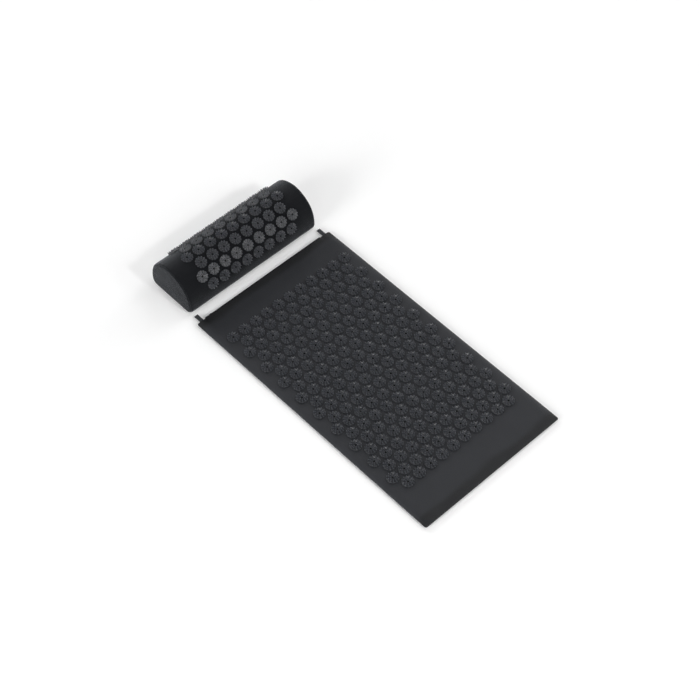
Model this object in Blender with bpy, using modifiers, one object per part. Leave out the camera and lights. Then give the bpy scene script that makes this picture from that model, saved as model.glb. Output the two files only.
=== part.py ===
"""Acupressure mat and its half-round neck pillow, each a zipped cloth cover over foam with rows of spiked discs.

Metres, +Z up. The origin is on the floor under the middle of the whole set. +Y runs along the mat towards
the pillow, which lies a hand's width beyond the mat's end, and +X runs across it.
"""

import math

import bmesh
import bpy
from mathutils import Matrix, Vector

MM = 0.001

# Clearances
GAP = 0.3 * MM
FOAM_FIT = 0.6 * MM
PILLOW_SEAM_GAP = 0.9 * MM
CUT_OVERRUN = 1.0 * MM

# Mat cover and core
MAT_WIDTH = 400 * MM
MAT_LENGTH = 726 * MM
MAT_THICKNESS = 12 * MM
MAT_SEAM_HEIGHT = 6 * MM
CLOTH_THICKNESS = 1.0 * MM
SIDE_SHOULDER = 18 * MM
END_SHOULDER = 28 * MM
UNDER_SHOULDER = 15 * MM
FOAM_INSET = 6 * MM
SHOULDER_STEPS = 5
UNDER_STEPS = 3

# Spiked discs
DISC_RADIUS = 14.0 * MM
DISC_PLATE = 1.4 * MM
DISC_SIDES = 12
SPIKE_HEIGHT = 4.0 * MM
DISC_PITCH = 33.6 * MM
ROW_SPACING = 28.18 * MM
FIRST_ROW_MARGIN = 87.3 * MM
LEAST_LAST_MARGIN = 100 * MM
LEAST_SIDE_MARGIN = 30 * MM

# Webbing loops at the pillow end of the mat
LOOP_WIDTH = 10 * MM
LOOP_LENGTH = 21 * MM
LOOP_SLIT = 0.6 * MM
WEBBING_THICKNESS = 0.8 * MM
LOOP_STITCHED = 5 * MM
LOOP_FROM_SIDE = 14.5 * MM
LOOP_ROUND_STEPS = 4

# Pillow cover and core
PILLOW_LENGTH = 378 * MM
PILLOW_DEPTH = 138 * MM
PILLOW_HEIGHT = 98.7 * MM
PILLOW_FOOT_RADIUS = 18 * MM
PILLOW_END_RADIUS = 7 * MM
PILLOW_FROM_MAT = 30 * MM
PILLOW_OFF_CENTRE = -2.2 * MM
PILLOW_SIDE_POWER = 1.84
PILLOW_CROWN_POWER = 2.53
PILLOW_ROWS_EACH_SIDE = 3
PILLOW_ROW_TO_FOOT = 36.94 * MM
LEAST_DISC_TO_END = 50 * MM
PILLOW_OUTLINE_STEPS = 30
PILLOW_FOOT_STEPS = 4
PILLOW_END_STEPS = 2
FINE_STEPS = 96

# Zips
ZIP_RECESS = 2.5 * MM
ZIP_HALF_BAND = 3.6 * MM
ZIP_TAPE_THICKNESS = 0.6 * MM
ZIP_CHAIN_WIDTH = 3.6 * MM
ZIP_CHAIN_THICKNESS = 1.6 * MM
ZIP_CHAIN_ROUNDING = 0.4 * MM
MAT_ZIP_TO_LOOP = 10.5 * MM
MAT_ZIP_TAPER = 8 * MM
PILLOW_ZIP_HEIGHT = 20 * MM
PILLOW_ZIP_TO_END = 12 * MM
SLIDER_LENGTH = 8 * MM
SLIDER_WALL = 1.0 * MM
SLIDER_ROUNDING = 0.3 * MM
SLIDER_FROM_ZIP_END = 12 * MM
BRIDGE_WIDTH = 1.6 * MM
BRIDGE_WALL = 0.8 * MM
BRIDGE_HOLE_LENGTH = 2.4 * MM
BRIDGE_HOLE_HEIGHT = 1.8 * MM
PULLER_THICKNESS = 1.0 * MM
PULLER_LENGTH = 18 * MM
PULLER_WIDTH = 4.0 * MM
PULLER_EYE_LENGTH = 3.2 * MM
PULLER_EYE_WIDTH = 2.4 * MM
PULLER_CORNER = 1.2 * MM
PULLER_CORNER_STEPS = 3

# Heights above a zip tape's front face
CHAIN_FRONT = GAP + ZIP_CHAIN_THICKNESS
SLIDER_FRONT = CHAIN_FRONT + GAP + SLIDER_WALL
PULLER_AXIS = SLIDER_FRONT + BRIDGE_HOLE_HEIGHT / 2
BRIDGE_FRONT = SLIDER_FRONT + BRIDGE_HOLE_HEIGHT + BRIDGE_WALL

# The mat's zip runs from loop to loop and the pillow's from end to end
MAT_ZIP_LENGTH = MAT_WIDTH - 2 * (LOOP_FROM_SIDE + LOOP_WIDTH / 2 + MAT_ZIP_TO_LOOP)
PILLOW_ZIP_LENGTH = PILLOW_LENGTH - 2 * PILLOW_ZIP_TO_END

# How far the pillow zip's tapes reach behind the cover on both sides of the chain
PILLOW_HALF_TAPE = ZIP_HALF_BAND + CLOTH_THICKNESS

# Places along the set
SET_LENGTH = MAT_LENGTH + PILLOW_FROM_MAT + PILLOW_DEPTH + BRIDGE_FRONT - ZIP_RECESS
MAT_NEAR_Y = -SET_LENGTH / 2
MAT_FAR_Y = MAT_NEAR_Y + MAT_LENGTH
MAT_MIDDLE_Y = (MAT_NEAR_Y + MAT_FAR_Y) / 2
PILLOW_MIDDLE_Y = MAT_FAR_Y + PILLOW_FROM_MAT + PILLOW_DEPTH / 2

# Colour, roughness and metallic value of each material
FINISHES = {
    "cover_cloth": ((0.034, 0.036, 0.040), 0.85, 0.0),
    "pillow_cloth": ((0.026, 0.027, 0.030), 0.80, 0.0),
    "foam": ((0.62, 0.60, 0.55), 0.95, 0.0),
    "disc_plastic": ((0.045, 0.048, 0.052), 0.38, 0.0),
    "webbing": ((0.040, 0.042, 0.046), 0.75, 0.0),
    "zip_tape": ((0.020, 0.021, 0.023), 0.85, 0.0),
    "zip_chain": ((0.018, 0.018, 0.020), 0.35, 0.0),
    "zip_metal": ((0.10, 0.10, 0.11), 0.30, 1.0),
}


def clear_scene():
    for obj in list(bpy.data.objects):
        bpy.data.objects.remove(obj, do_unlink=True)


def new_collection(name):
    collection = bpy.data.collections.new(name)
    bpy.context.scene.collection.children.link(collection)
    return collection


def finish_material(name):
    """The named Principled material, made the first time it is asked for."""
    if name in bpy.data.materials:
        return bpy.data.materials[name]
    colour, roughness, metallic = FINISHES[name]
    material = bpy.data.materials.new(name)
    material.use_nodes = True
    shader = material.node_tree.nodes["Principled BSDF"]
    shader.inputs["Base Color"].default_value = (*colour, 1.0)
    shader.inputs["Roughness"].default_value = roughness
    shader.inputs["Metallic"].default_value = metallic
    material.diffuse_color = (*colour, 1.0)
    return material


def place(name, data, collection, finish, location=(0, 0, 0), rotation=(0, 0, 0), parent=None):
    """One named object with its material, placed under its parent."""
    obj = bpy.data.objects.new(name, data)
    collection.objects.link(obj)
    if finish:
        data.materials.clear()
        data.materials.append(finish_material(finish))
    obj.location = location
    obj.rotation_euler = rotation
    obj.parent = parent
    return obj


def empty(name, collection, location, parent=None):
    """An empty that holds the pieces of one moving body."""
    obj = bpy.data.objects.new(name, None)
    collection.objects.link(obj)
    obj.location = location
    obj.parent = parent
    return obj


def cutter(name, data, collection, location, parent):
    """A shape that only cuts or joins another."""
    obj = place(name, data, collection, None, location=location, parent=parent)
    obj.hide_render = True
    obj.display_type = "WIRE"
    return obj


def sheet_mesh(bm, name):
    """The mesh of an open sheet, whose faces already look outwards."""
    mesh = bpy.data.meshes.new(name)
    bm.to_mesh(mesh)
    bm.free()
    return mesh


def solid_mesh(bm, name):
    """The mesh of a closed shape, its faces turned outwards."""
    bmesh.ops.recalc_face_normals(bm, faces=bm.faces)
    return sheet_mesh(bm, name)


def box_mesh(name, low, high):
    """A box between two corners."""
    bm = bmesh.new()
    size = Vector(high) - Vector(low)
    middle = (Vector(high) + Vector(low)) / 2
    bmesh.ops.create_cube(bm, size=1, matrix=Matrix.Translation(middle) @ Matrix.Diagonal((*size, 1)))
    return solid_mesh(bm, name)


def outline_curve(name, loops, thickness):
    """A flat shape of this thickness: its first loop is the edge and the others are holes."""
    curve = bpy.data.curves.new(name, "CURVE")
    curve.dimensions = "2D"
    curve.fill_mode = "BOTH"
    curve.extrude = thickness / 2
    for points in loops:
        spline = curve.splines.new("POLY")
        spline.points.add(len(points) - 1)
        spline.use_cyclic_u = True
        for point, (across, along) in zip(spline.points, points):
            point.co = (across, along, 0, 1)
    return curve


def cloth_wall(obj):
    """Gives a sheet the thickness of cloth, inwards from the sheet."""
    modifier = obj.modifiers.new("Wall", "SOLIDIFY")
    modifier.thickness = CLOTH_THICKNESS
    modifier.offset = -1


def boolean(obj, other, operation):
    modifier = obj.modifiers.new(operation.title(), "BOOLEAN")
    modifier.operation = operation
    modifier.object = other


def round_edges(obj, width):
    modifier = obj.modifiers.new("Rounded", "BEVEL")
    modifier.width = width
    modifier.segments = 1


def smooth(obj, angle=math.radians(35)):
    obj.data.shade_smooth()
    obj.data.set_sharp_from_angle(angle=angle)


def shoulder(distance, width):
    """Share of the full rise this far in from the rim: a parabola up to the flat."""
    inward = min(max(distance / width, 0), 1)
    return 1 - (1 - inward) ** 2


def stations(half, width, steps, extra=()):
    """Grid lines from -half to half: even steps over both shoulders, and the extra lines on both sides."""
    near = [-half + width * step / steps for step in range(steps + 1)]
    lines = near + [-line for line in near] + list(extra) + [-line for line in extra]
    return sorted(set(lines))


def zip_lip(across):
    """How far the rim is spread from the seam, up or down, to let the zip in."""
    past_zip = abs(across) - MAT_ZIP_LENGTH / 2
    return ZIP_HALF_BAND * min(max(1 - past_zip / MAT_ZIP_TAPER, 0), 1)


def mat_surface_height(across, along, rise, side_width, end_width, direction):
    """Height of the mat's outer face, on top or underneath as direction is 1 or -1."""
    side = shoulder(MAT_WIDTH / 2 - abs(across), side_width)
    near = shoulder(along - MAT_NEAR_Y, end_width)
    far = shoulder(MAT_FAR_Y - along, end_width)
    rim = GAP / 2 + CLOTH_THICKNESS
    lip = zip_lip(across) * (1 - far)
    return MAT_SEAM_HEIGHT + direction * (rim + lip + (rise - rim) * side * near * far)


def mat_panel_mesh(name, rise, side_width, end_width, steps, direction):
    """One outer face of the mat's cover, as an open sheet."""
    zip_lines = (MAT_ZIP_LENGTH / 2, MAT_ZIP_LENGTH / 2 + MAT_ZIP_TAPER)
    columns = stations(MAT_WIDTH / 2, side_width, steps, zip_lines)
    rows = [MAT_MIDDLE_Y + line for line in stations(MAT_LENGTH / 2, end_width, steps)]
    bm = bmesh.new()
    bmesh.ops.create_grid(bm, x_segments=len(columns) - 1, y_segments=len(rows) - 1, size=1)
    for vert in bm.verts:
        across = columns[round((vert.co.x + 1) / 2 * (len(columns) - 1))]
        along = rows[round((vert.co.y + 1) / 2 * (len(rows) - 1))]
        height = mat_surface_height(across, along, rise, side_width, end_width, direction)
        vert.co = (across, along, height)
    if direction < 0:
        bmesh.ops.reverse_faces(bm, faces=bm.faces)
    return sheet_mesh(bm, name)


def mat_cover(collection):
    rise = MAT_THICKNESS - MAT_SEAM_HEIGHT
    top = mat_panel_mesh("mat_top_panel", rise, SIDE_SHOULDER, END_SHOULDER, SHOULDER_STEPS, 1)
    base = mat_panel_mesh("mat_base_panel", MAT_SEAM_HEIGHT, UNDER_SHOULDER, UNDER_SHOULDER, UNDER_STEPS, -1)
    for name, mesh in (("mat_top_panel", top), ("mat_base_panel", base)):
        panel = place(name, mesh, collection, "cover_cloth")
        cloth_wall(panel)
        smooth(panel)


def rectangle_ring(bm, inset, height):
    """Four corners of a ring this far in from the mat's rim."""
    half_width = MAT_WIDTH / 2 - inset
    near, far = MAT_NEAR_Y + inset, MAT_FAR_Y - inset
    corners = ((-half_width, near), (half_width, near), (half_width, far), (-half_width, far))
    return [bm.verts.new((across, along, height)) for across, along in corners]


def loft(bm, rings, capped=True):
    """Faces between rings with as many points each, and over both ends."""
    for lower, upper in zip(rings, rings[1:]):
        for i in range(len(lower)):
            j = (i + 1) % len(lower)
            bm.faces.new((lower[i], lower[j], upper[j], upper[i]))
    if capped:
        bm.faces.new(rings[0])
        bm.faces.new(rings[-1])


def mat_core(collection):
    """The foam slab: each ring lies inside the cover even at its lowest corner."""
    under = MAT_SEAM_HEIGHT - CLOTH_THICKNESS - GAP
    over = MAT_THICKNESS - MAT_SEAM_HEIGHT - CLOTH_THICKNESS - FOAM_FIT
    layers = [(UNDER_SHOULDER + FOAM_FIT, MAT_SEAM_HEIGHT - under)]
    for step in range(UNDER_STEPS):
        inset = UNDER_SHOULDER + (FOAM_INSET - UNDER_SHOULDER) * (step + 1) / UNDER_STEPS
        layers.append((inset, MAT_SEAM_HEIGHT - (under - FOAM_FIT) * shoulder(inset, UNDER_SHOULDER) ** 2))
    for step in range(SHOULDER_STEPS + 1):
        inset = FOAM_INSET + (END_SHOULDER - FOAM_INSET) * step / SHOULDER_STEPS
        share = shoulder(inset, SIDE_SHOULDER) * shoulder(inset, END_SHOULDER)
        layers.append((inset, MAT_SEAM_HEIGHT + over * share))
    bm = bmesh.new()
    loft(bm, [rectangle_ring(bm, inset, height) for inset, height in layers])
    place("mat_foam_core", solid_mesh(bm, "mat_foam_core"), collection, "foam")


def disc_row_mesh(name, count):
    """Discs in a line, each a plate with a crown of spikes, joined plate to plate by a short web."""
    bm = bmesh.new()
    flats_to_neighbours = Matrix.Rotation(math.pi / DISC_SIDES, 4, "Z")
    for index in range(count):
        across = (index - (count - 1) / 2) * DISC_PITCH
        centre = Matrix.Translation((across, 0, DISC_PLATE / 2)) @ flats_to_neighbours
        bmesh.ops.create_cone(
            bm,
            cap_ends=True,
            segments=DISC_SIDES,
            radius1=DISC_RADIUS,
            radius2=DISC_RADIUS,
            depth=DISC_PLATE,
            matrix=centre,
        )
    bm.normal_update()
    tops = [face for face in bm.faces if face.normal.z > 1 / 2]
    wedges = bmesh.ops.poke(bm, faces=tops)["faces"]
    bmesh.ops.poke(bm, faces=wedges, offset=SPIKE_HEIGHT)
    bm.normal_update()
    join_neighbours(bm, count)
    return solid_mesh(bm, name)


def join_neighbours(bm, count):
    """A web from each disc's side face to the facing side face of the next disc."""
    right = sorted((f for f in bm.faces if is_side(f, 1)), key=lambda f: f.calc_center_median().x)
    left = sorted((f for f in bm.faces if is_side(f, -1)), key=lambda f: f.calc_center_median().x)
    pairs = [(right[i], left[i + 1]) for i in range(count - 1)]
    for pair in pairs:
        edges = [edge for face in pair for edge in face.edges]
        bmesh.ops.delete(bm, geom=list(pair), context="FACES_ONLY")
        bmesh.ops.bridge_loops(bm, edges=edges)


def is_side(face, direction):
    """Whether a face looks straight along the row, in +X for 1 or -X for -1."""
    return len(face.verts) == 4 and face.normal.x * direction > math.cos(math.pi / DISC_SIDES / 2)


def mat_disc_rows(collection):
    """Rows from the pillow end down, the longer and shorter ones by turns."""
    room = MAT_LENGTH - FIRST_ROW_MARGIN - LEAST_LAST_MARGIN
    row_count = int(room / ROW_SPACING) + 1
    long_count = int((MAT_WIDTH - 2 * LEAST_SIDE_MARGIN) / DISC_PITCH) + 1
    meshes = [disc_row_mesh("mat_long_row", long_count), disc_row_mesh("mat_short_row", long_count - 1)]
    for row in range(row_count):
        along = MAT_FAR_Y - FIRST_ROW_MARGIN - row * ROW_SPACING
        place(
            f"mat_disc_row_{row + 1:02d}",
            meshes[row % 2],
            collection,
            "disc_plastic",
            location=(0, along, MAT_THICKNESS + GAP),
        )


def loop_outlines():
    """Side view of a folded webbing loop, root at the origin: its outer edge and the slit inside it."""
    half = WEBBING_THICKNESS + LOOP_SLIT / 2
    outer = []
    turns = ((LOOP_LENGTH - 2 * half, -1), (0, 1))
    for middle, side in turns:
        for step in range(LOOP_ROUND_STEPS + 1):
            angle = math.pi * step / LOOP_ROUND_STEPS
            outer.append((middle - side * half * math.sin(angle), side * half * math.cos(angle)))
    slit_start = LOOP_STITCHED
    slit_end = LOOP_LENGTH - 2 * half
    slit = [
        (slit_start, -LOOP_SLIT / 2),
        (slit_end, -LOOP_SLIT / 2),
        (slit_end + LOOP_SLIT / 2, 0),
        (slit_end, LOOP_SLIT / 2),
        (slit_start, LOOP_SLIT / 2),
    ]
    return [outer, slit]


def mat_loops(collection):
    """Two loops, each turning about the seam where its root is sewn."""
    half = WEBBING_THICKNESS + LOOP_SLIT / 2
    for name, side in (("mat_loop_left", -1), ("mat_loop_right", 1)):
        across = side * (MAT_WIDTH / 2 - LOOP_FROM_SIDE)
        outline = outline_curve(name, loop_outlines(), LOOP_WIDTH)
        place(
            name,
            outline,
            collection,
            "webbing",
            location=(across, MAT_FAR_Y + GAP + half, MAT_SEAM_HEIGHT),
            rotation=(math.pi / 2, 0, math.pi / 2),
        )


def fine_outline():
    """The pillow's half-round section in y and z, in small steps from the front foot to the back foot."""
    radius = PILLOW_FOOT_RADIUS
    half = PILLOW_DEPTH / 2
    rise = PILLOW_HEIGHT - radius
    points = []
    for step in range(FINE_STEPS):
        angle = math.pi / 2 * step / FINE_STEPS
        points.append((-half + radius * (1 - math.sin(angle)), radius * (1 - math.cos(angle))))
    for step in range(FINE_STEPS + 1):
        angle = math.pi / 2 * step / FINE_STEPS
        depth = half * math.cos(angle) ** (2 / PILLOW_SIDE_POWER)
        points.append((-depth, radius + rise * math.sin(angle) ** (2 / PILLOW_CROWN_POWER)))
    mirrored = [(-along, height) for along, height in reversed(points[:-1])]
    return [Vector(point) for point in points + mirrored]


def arc_lengths(points):
    lengths = [0.0]
    for first, second in zip(points, points[1:]):
        lengths.append(lengths[-1] + (second - first).length)
    return lengths


OUTLINE = fine_outline()
OUTLINE_LENGTHS = arc_lengths(OUTLINE)
OUTLINE_LENGTH = OUTLINE_LENGTHS[-1]


def outline_at(length):
    """Point and outward normal of the section at this length from the front foot."""
    index = 1
    while index < len(OUTLINE) - 1 and OUTLINE_LENGTHS[index] < length:
        index += 1
    start, end = OUTLINE[index - 1], OUTLINE[index]
    span = OUTLINE_LENGTHS[index] - OUTLINE_LENGTHS[index - 1]
    share = (length - OUTLINE_LENGTHS[index - 1]) / span
    tangent = (end - start).normalized()
    return start.lerp(end, share), Vector((-tangent.y, tangent.x))


def back_length_at(height):
    """Length along the section at which its back comes down to this height."""
    for index in range(len(OUTLINE) - 1, 0, -1):
        low, high = OUTLINE[index].y, OUTLINE[index - 1].y
        if low <= height <= high:
            share = (height - low) / (high - low)
            return OUTLINE_LENGTHS[index] - share * (OUTLINE_LENGTHS[index] - OUTLINE_LENGTHS[index - 1])
    return OUTLINE_LENGTH


def section_points(start, end, steps, inset):
    """Evenly spaced points of the section between two lengths, moved inwards."""
    points = []
    for step in range(steps + 1):
        point, normal = outline_at(start + (end - start) * step / steps)
        points.append(point - normal * inset)
    return points


def end_ring(angle, depth):
    """Distance in from the end, and inset, of the layer this deep under the pillow's rounded end edge."""
    radius = PILLOW_END_RADIUS - depth
    return depth + radius * (1 - math.cos(angle)), depth + radius * (1 - math.sin(angle))


def seam_angle(side):
    """Where a panel stops on the rounded end edge, short of the seam in its middle."""
    return math.pi / 4 + side * PILLOW_SEAM_GAP / 2 / PILLOW_END_RADIUS


def long_stations():
    """Distance from the middle and inset of the rings of a panel that runs the pillow's length."""
    start = seam_angle(1)
    rings = []
    for step in range(PILLOW_END_STEPS + 1):
        angle = start + (math.pi / 2 - start) * step / PILLOW_END_STEPS
        distance, inset = end_ring(angle, 0)
        rings.append((PILLOW_LENGTH / 2 - distance, inset))
    return [(-across, inset) for across, inset in rings] + list(reversed(rings))


def sheet(bm, rows):
    """An open sheet through rows with as many points each."""
    grid = [[bm.verts.new(point) for point in row] for row in rows]
    for lower, upper in zip(grid, grid[1:]):
        for i in range(len(lower) - 1):
            bm.faces.new((lower[i], upper[i], upper[i + 1], lower[i + 1]))


def long_panel_mesh(name, outline_for):
    """A cover panel along the pillow, from the outline that an inset gives."""
    bm = bmesh.new()
    rows = []
    for across, inset in long_stations():
        rows.append([(across, point.x, point.y) for point in outline_for(inset)])
    sheet(bm, rows)
    return sheet_mesh(bm, name)


def top_panel_outline(inset):
    """Front foot, over the crown, down to the upper lip of the zip."""
    end = back_length_at(PILLOW_ZIP_HEIGHT + ZIP_HALF_BAND)
    return section_points(0, end, PILLOW_OUTLINE_STEPS, inset)


def base_panel_outline(inset):
    """Lower lip of the zip, round the back foot and under the pillow to the front seam."""
    start = back_length_at(PILLOW_ZIP_HEIGHT - ZIP_HALF_BAND)
    points = section_points(start, OUTLINE_LENGTH, PILLOW_FOOT_STEPS, inset)
    front = OUTLINE[0]
    return points + [Vector((front.x + PILLOW_SEAM_GAP, front.y + inset))]


def end_panel_mesh(name, side):
    """A half-round end of the cover with the near half of its rounded edge."""
    bm = bmesh.new()
    rings = []
    for step in range(PILLOW_END_STEPS + 1):
        distance, inset = end_ring(seam_angle(-1) * step / PILLOW_END_STEPS, 0)
        across = side * (PILLOW_LENGTH / 2 - distance)
        outline = section_points(0, OUTLINE_LENGTH, PILLOW_OUTLINE_STEPS, inset)
        rings.append([bm.verts.new((across, point.x, point.y)) for point in outline])
    loft(bm, rings, capped=False)
    bm.faces.new(rings[0])
    bmesh.ops.recalc_face_normals(bm, faces=bm.faces)
    outer = max(bm.faces, key=lambda face: len(face.verts))
    if outer.normal.x * side < 0:
        bmesh.ops.reverse_faces(bm, faces=bm.faces)
    return sheet_mesh(bm, name)


def pillow_cover(collection, parent):
    for name, outline_for in (("pillow_top_panel", top_panel_outline), ("pillow_base_panel", base_panel_outline)):
        panel = place(name, long_panel_mesh(name, outline_for), collection, "pillow_cloth", parent=parent)
        cloth_wall(panel)
        smooth(panel)
    for name, side in (("pillow_left_end_panel", -1), ("pillow_right_end_panel", 1)):
        panel = place(name, end_panel_mesh(name, side), collection, "pillow_cloth", parent=parent)
        cloth_wall(panel)
        smooth(panel)


def pillow_core(collection, cutters, parent):
    """The half-round foam, with room behind the zip for its tapes."""
    depth = CLOTH_THICKNESS + FOAM_FIT
    ring_steps = PILLOW_END_STEPS
    near_end = [end_ring(math.pi / 2 * step / ring_steps, depth) for step in range(ring_steps + 1)]
    half = PILLOW_LENGTH / 2
    places = [(distance - half, inset) for distance, inset in near_end]
    places += [(half - distance, inset) for distance, inset in reversed(near_end)]
    bm = bmesh.new()
    rings = []
    for across, inset in places:
        outline = section_points(0, OUTLINE_LENGTH, PILLOW_OUTLINE_STEPS, inset)
        rings.append([bm.verts.new((across, point.x, point.y)) for point in outline])
    loft(bm, rings)
    core = place("pillow_foam_core", solid_mesh(bm, "pillow_foam_core"), collection, "foam", parent=parent)
    back = PILLOW_DEPTH / 2
    tape_back = ZIP_RECESS + ZIP_TAPE_THICKNESS + FOAM_FIT
    channel = box_mesh(
        "pillow_zip_channel",
        (-half - CUT_OVERRUN, back - tape_back, PILLOW_ZIP_HEIGHT - PILLOW_HALF_TAPE - FOAM_FIT),
        (half + CUT_OVERRUN, back + CUT_OVERRUN, PILLOW_ZIP_HEIGHT + PILLOW_HALF_TAPE + FOAM_FIT),
    )
    boolean(core, cutter("pillow_zip_channel", channel, cutters, (0, 0, 0), parent), "DIFFERENCE")


def pillow_disc_rows(collection, parent):
    """Rows along the pillow, the middle one on the crown, the longer and shorter ones by turns."""
    crown = OUTLINE_LENGTH / 2
    foot = OUTLINE_LENGTHS[FINE_STEPS]
    spacing = (crown - foot - PILLOW_ROW_TO_FOOT) / PILLOW_ROWS_EACH_SIDE
    long_count = int((PILLOW_LENGTH - 2 * LEAST_DISC_TO_END) / DISC_PITCH) + 1
    meshes = [disc_row_mesh("pillow_long_row", long_count), disc_row_mesh("pillow_short_row", long_count - 1)]
    for row in range(-PILLOW_ROWS_EACH_SIDE, PILLOW_ROWS_EACH_SIDE + 1):
        point, normal = outline_at(crown + row * spacing)
        seat = point + normal * GAP
        tilt = math.atan2(-normal.x, normal.y)
        place(
            f"pillow_disc_row_{row + PILLOW_ROWS_EACH_SIDE + 1}",
            meshes[abs(row) % 2],
            collection,
            "disc_plastic",
            location=(0, seat.x, seat.y),
            rotation=(tilt, 0, 0),
            parent=parent,
        )


def zip_fastener(prefix, collection, cutters, length, half_tape, parent):
    """Two tapes, the closed chain in front of them, and the slider with its puller near the -X end."""
    half = length / 2
    for name, low, high in (("lower", -half_tape, -GAP / 2), ("upper", GAP / 2, half_tape)):
        node = f"{prefix}_zip_{name}_tape"
        tape = box_mesh(node, (-half, -ZIP_TAPE_THICKNESS, low), (half, 0, high))
        place(node, tape, collection, "zip_tape", parent=parent)
    node = f"{prefix}_zip_chain"
    side = ZIP_CHAIN_WIDTH / 2
    coil = box_mesh(node, (-half, GAP, -side), (half, CHAIN_FRONT, side))
    chain = place(node, coil, collection, "zip_chain", parent=parent)
    round_edges(chain, ZIP_CHAIN_ROUNDING)
    slider = empty(f"{prefix}_zip_slider_axis", collection, (-half + SLIDER_FROM_ZIP_END, 0, 0), parent)
    zip_slider(f"{prefix}_zip_slider", collection, cutters, slider)
    zip_puller(f"{prefix}_zip_puller", collection, slider)


def zip_slider(name, collection, cutters, parent):
    """A channel over the chain with a small bridge on its front that holds the puller."""
    inner = ZIP_CHAIN_WIDTH / 2 + GAP
    outer = inner + SLIDER_WALL
    half = SLIDER_LENGTH / 2
    shell = box_mesh(name, (-half, GAP, -outer), (half, SLIDER_FRONT, outer))
    body = place(name, shell, collection, "zip_metal", parent=parent)
    round_edges(body, SLIDER_ROUNDING)
    channel = box_mesh(
        f"{name}_channel",
        (-half - CUT_OVERRUN, GAP - CUT_OVERRUN, -inner),
        (half + CUT_OVERRUN, CHAIN_FRONT + GAP, inner),
    )
    boolean(body, cutter(f"{name}_channel", channel, cutters, (0, 0, 0), parent), "DIFFERENCE")
    bridge_half = BRIDGE_HOLE_LENGTH / 2 + BRIDGE_WALL
    bridge = box_mesh(
        f"{name}_bridge",
        (-bridge_half, SLIDER_FRONT - SLIDER_WALL / 2, -BRIDGE_WIDTH / 2),
        (bridge_half, BRIDGE_FRONT, BRIDGE_WIDTH / 2),
    )
    boolean(body, cutter(f"{name}_bridge", bridge, cutters, (0, 0, 0), parent), "UNION")
    hole = box_mesh(
        f"{name}_bridge_hole",
        (-BRIDGE_HOLE_LENGTH / 2, SLIDER_FRONT, -BRIDGE_WIDTH / 2 - CUT_OVERRUN),
        (BRIDGE_HOLE_LENGTH / 2, SLIDER_FRONT + BRIDGE_HOLE_HEIGHT, BRIDGE_WIDTH / 2 + CUT_OVERRUN),
    )
    boolean(body, cutter(f"{name}_bridge_hole", hole, cutters, (0, 0, 0), parent), "DIFFERENCE")


def zip_puller(name, collection, parent):
    """A flat tab whose end bar runs through the slider's bridge, with its origin on the bar's axis."""
    bar = PULLER_THICKNESS
    half_width = PULLER_WIDTH / 2
    tip = bar / 2 - PULLER_LENGTH
    outer = [(bar / 2, -half_width), (bar / 2, half_width)]
    for side in (1, -1):
        for step in range(PULLER_CORNER_STEPS + 1):
            angle = math.pi / 2 * step / PULLER_CORNER_STEPS
            turn = math.sin(angle) if side > 0 else math.cos(angle)
            rest = math.cos(angle) if side > 0 else math.sin(angle)
            along = tip + PULLER_CORNER * (1 - turn)
            outer.append((along, side * (half_width - PULLER_CORNER * (1 - rest))))
    eye_start = -bar / 2
    eye_end = -PULLER_EYE_LENGTH - bar / 2
    eye_half = PULLER_EYE_WIDTH / 2
    eye = [(eye_start, -eye_half), (eye_start, eye_half), (eye_end, eye_half), (eye_end, -eye_half)]
    outline = outline_curve(name, [outer, eye], PULLER_THICKNESS)
    place(
        name,
        outline,
        collection,
        "zip_metal",
        location=(0, PULLER_AXIS, 0),
        rotation=(math.pi / 2, 0, 0),
        parent=parent,
    )


def build():
    clear_scene()
    parts = new_collection("acupressure_mat")
    cutters = new_collection("cutters")
    mat_cover(parts)
    mat_core(parts)
    mat_disc_rows(parts)
    mat_loops(parts)
    mat_zip = empty("mat_zip_place", parts, (0, MAT_FAR_Y - ZIP_RECESS, MAT_SEAM_HEIGHT))
    zip_fastener("mat", parts, cutters, MAT_ZIP_LENGTH, ZIP_HALF_BAND - GAP, mat_zip)
    pillow = empty("pillow_place", parts, (PILLOW_OFF_CENTRE, PILLOW_MIDDLE_Y, 0))
    pillow_cover(parts, pillow)
    pillow_core(parts, cutters, pillow)
    pillow_disc_rows(parts, pillow)
    pillow_zip = empty("pillow_zip_place", parts, (0, PILLOW_DEPTH / 2 - ZIP_RECESS, PILLOW_ZIP_HEIGHT), pillow)
    zip_fastener("pillow", parts, cutters, PILLOW_ZIP_LENGTH, PILLOW_HALF_TAPE, pillow_zip)


build()
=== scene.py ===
"""The looks of an acupressure mat and its neck pillow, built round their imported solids."""

import math

import bmesh
import bpy
import numpy as np
from mathutils import Matrix, Vector


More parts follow.
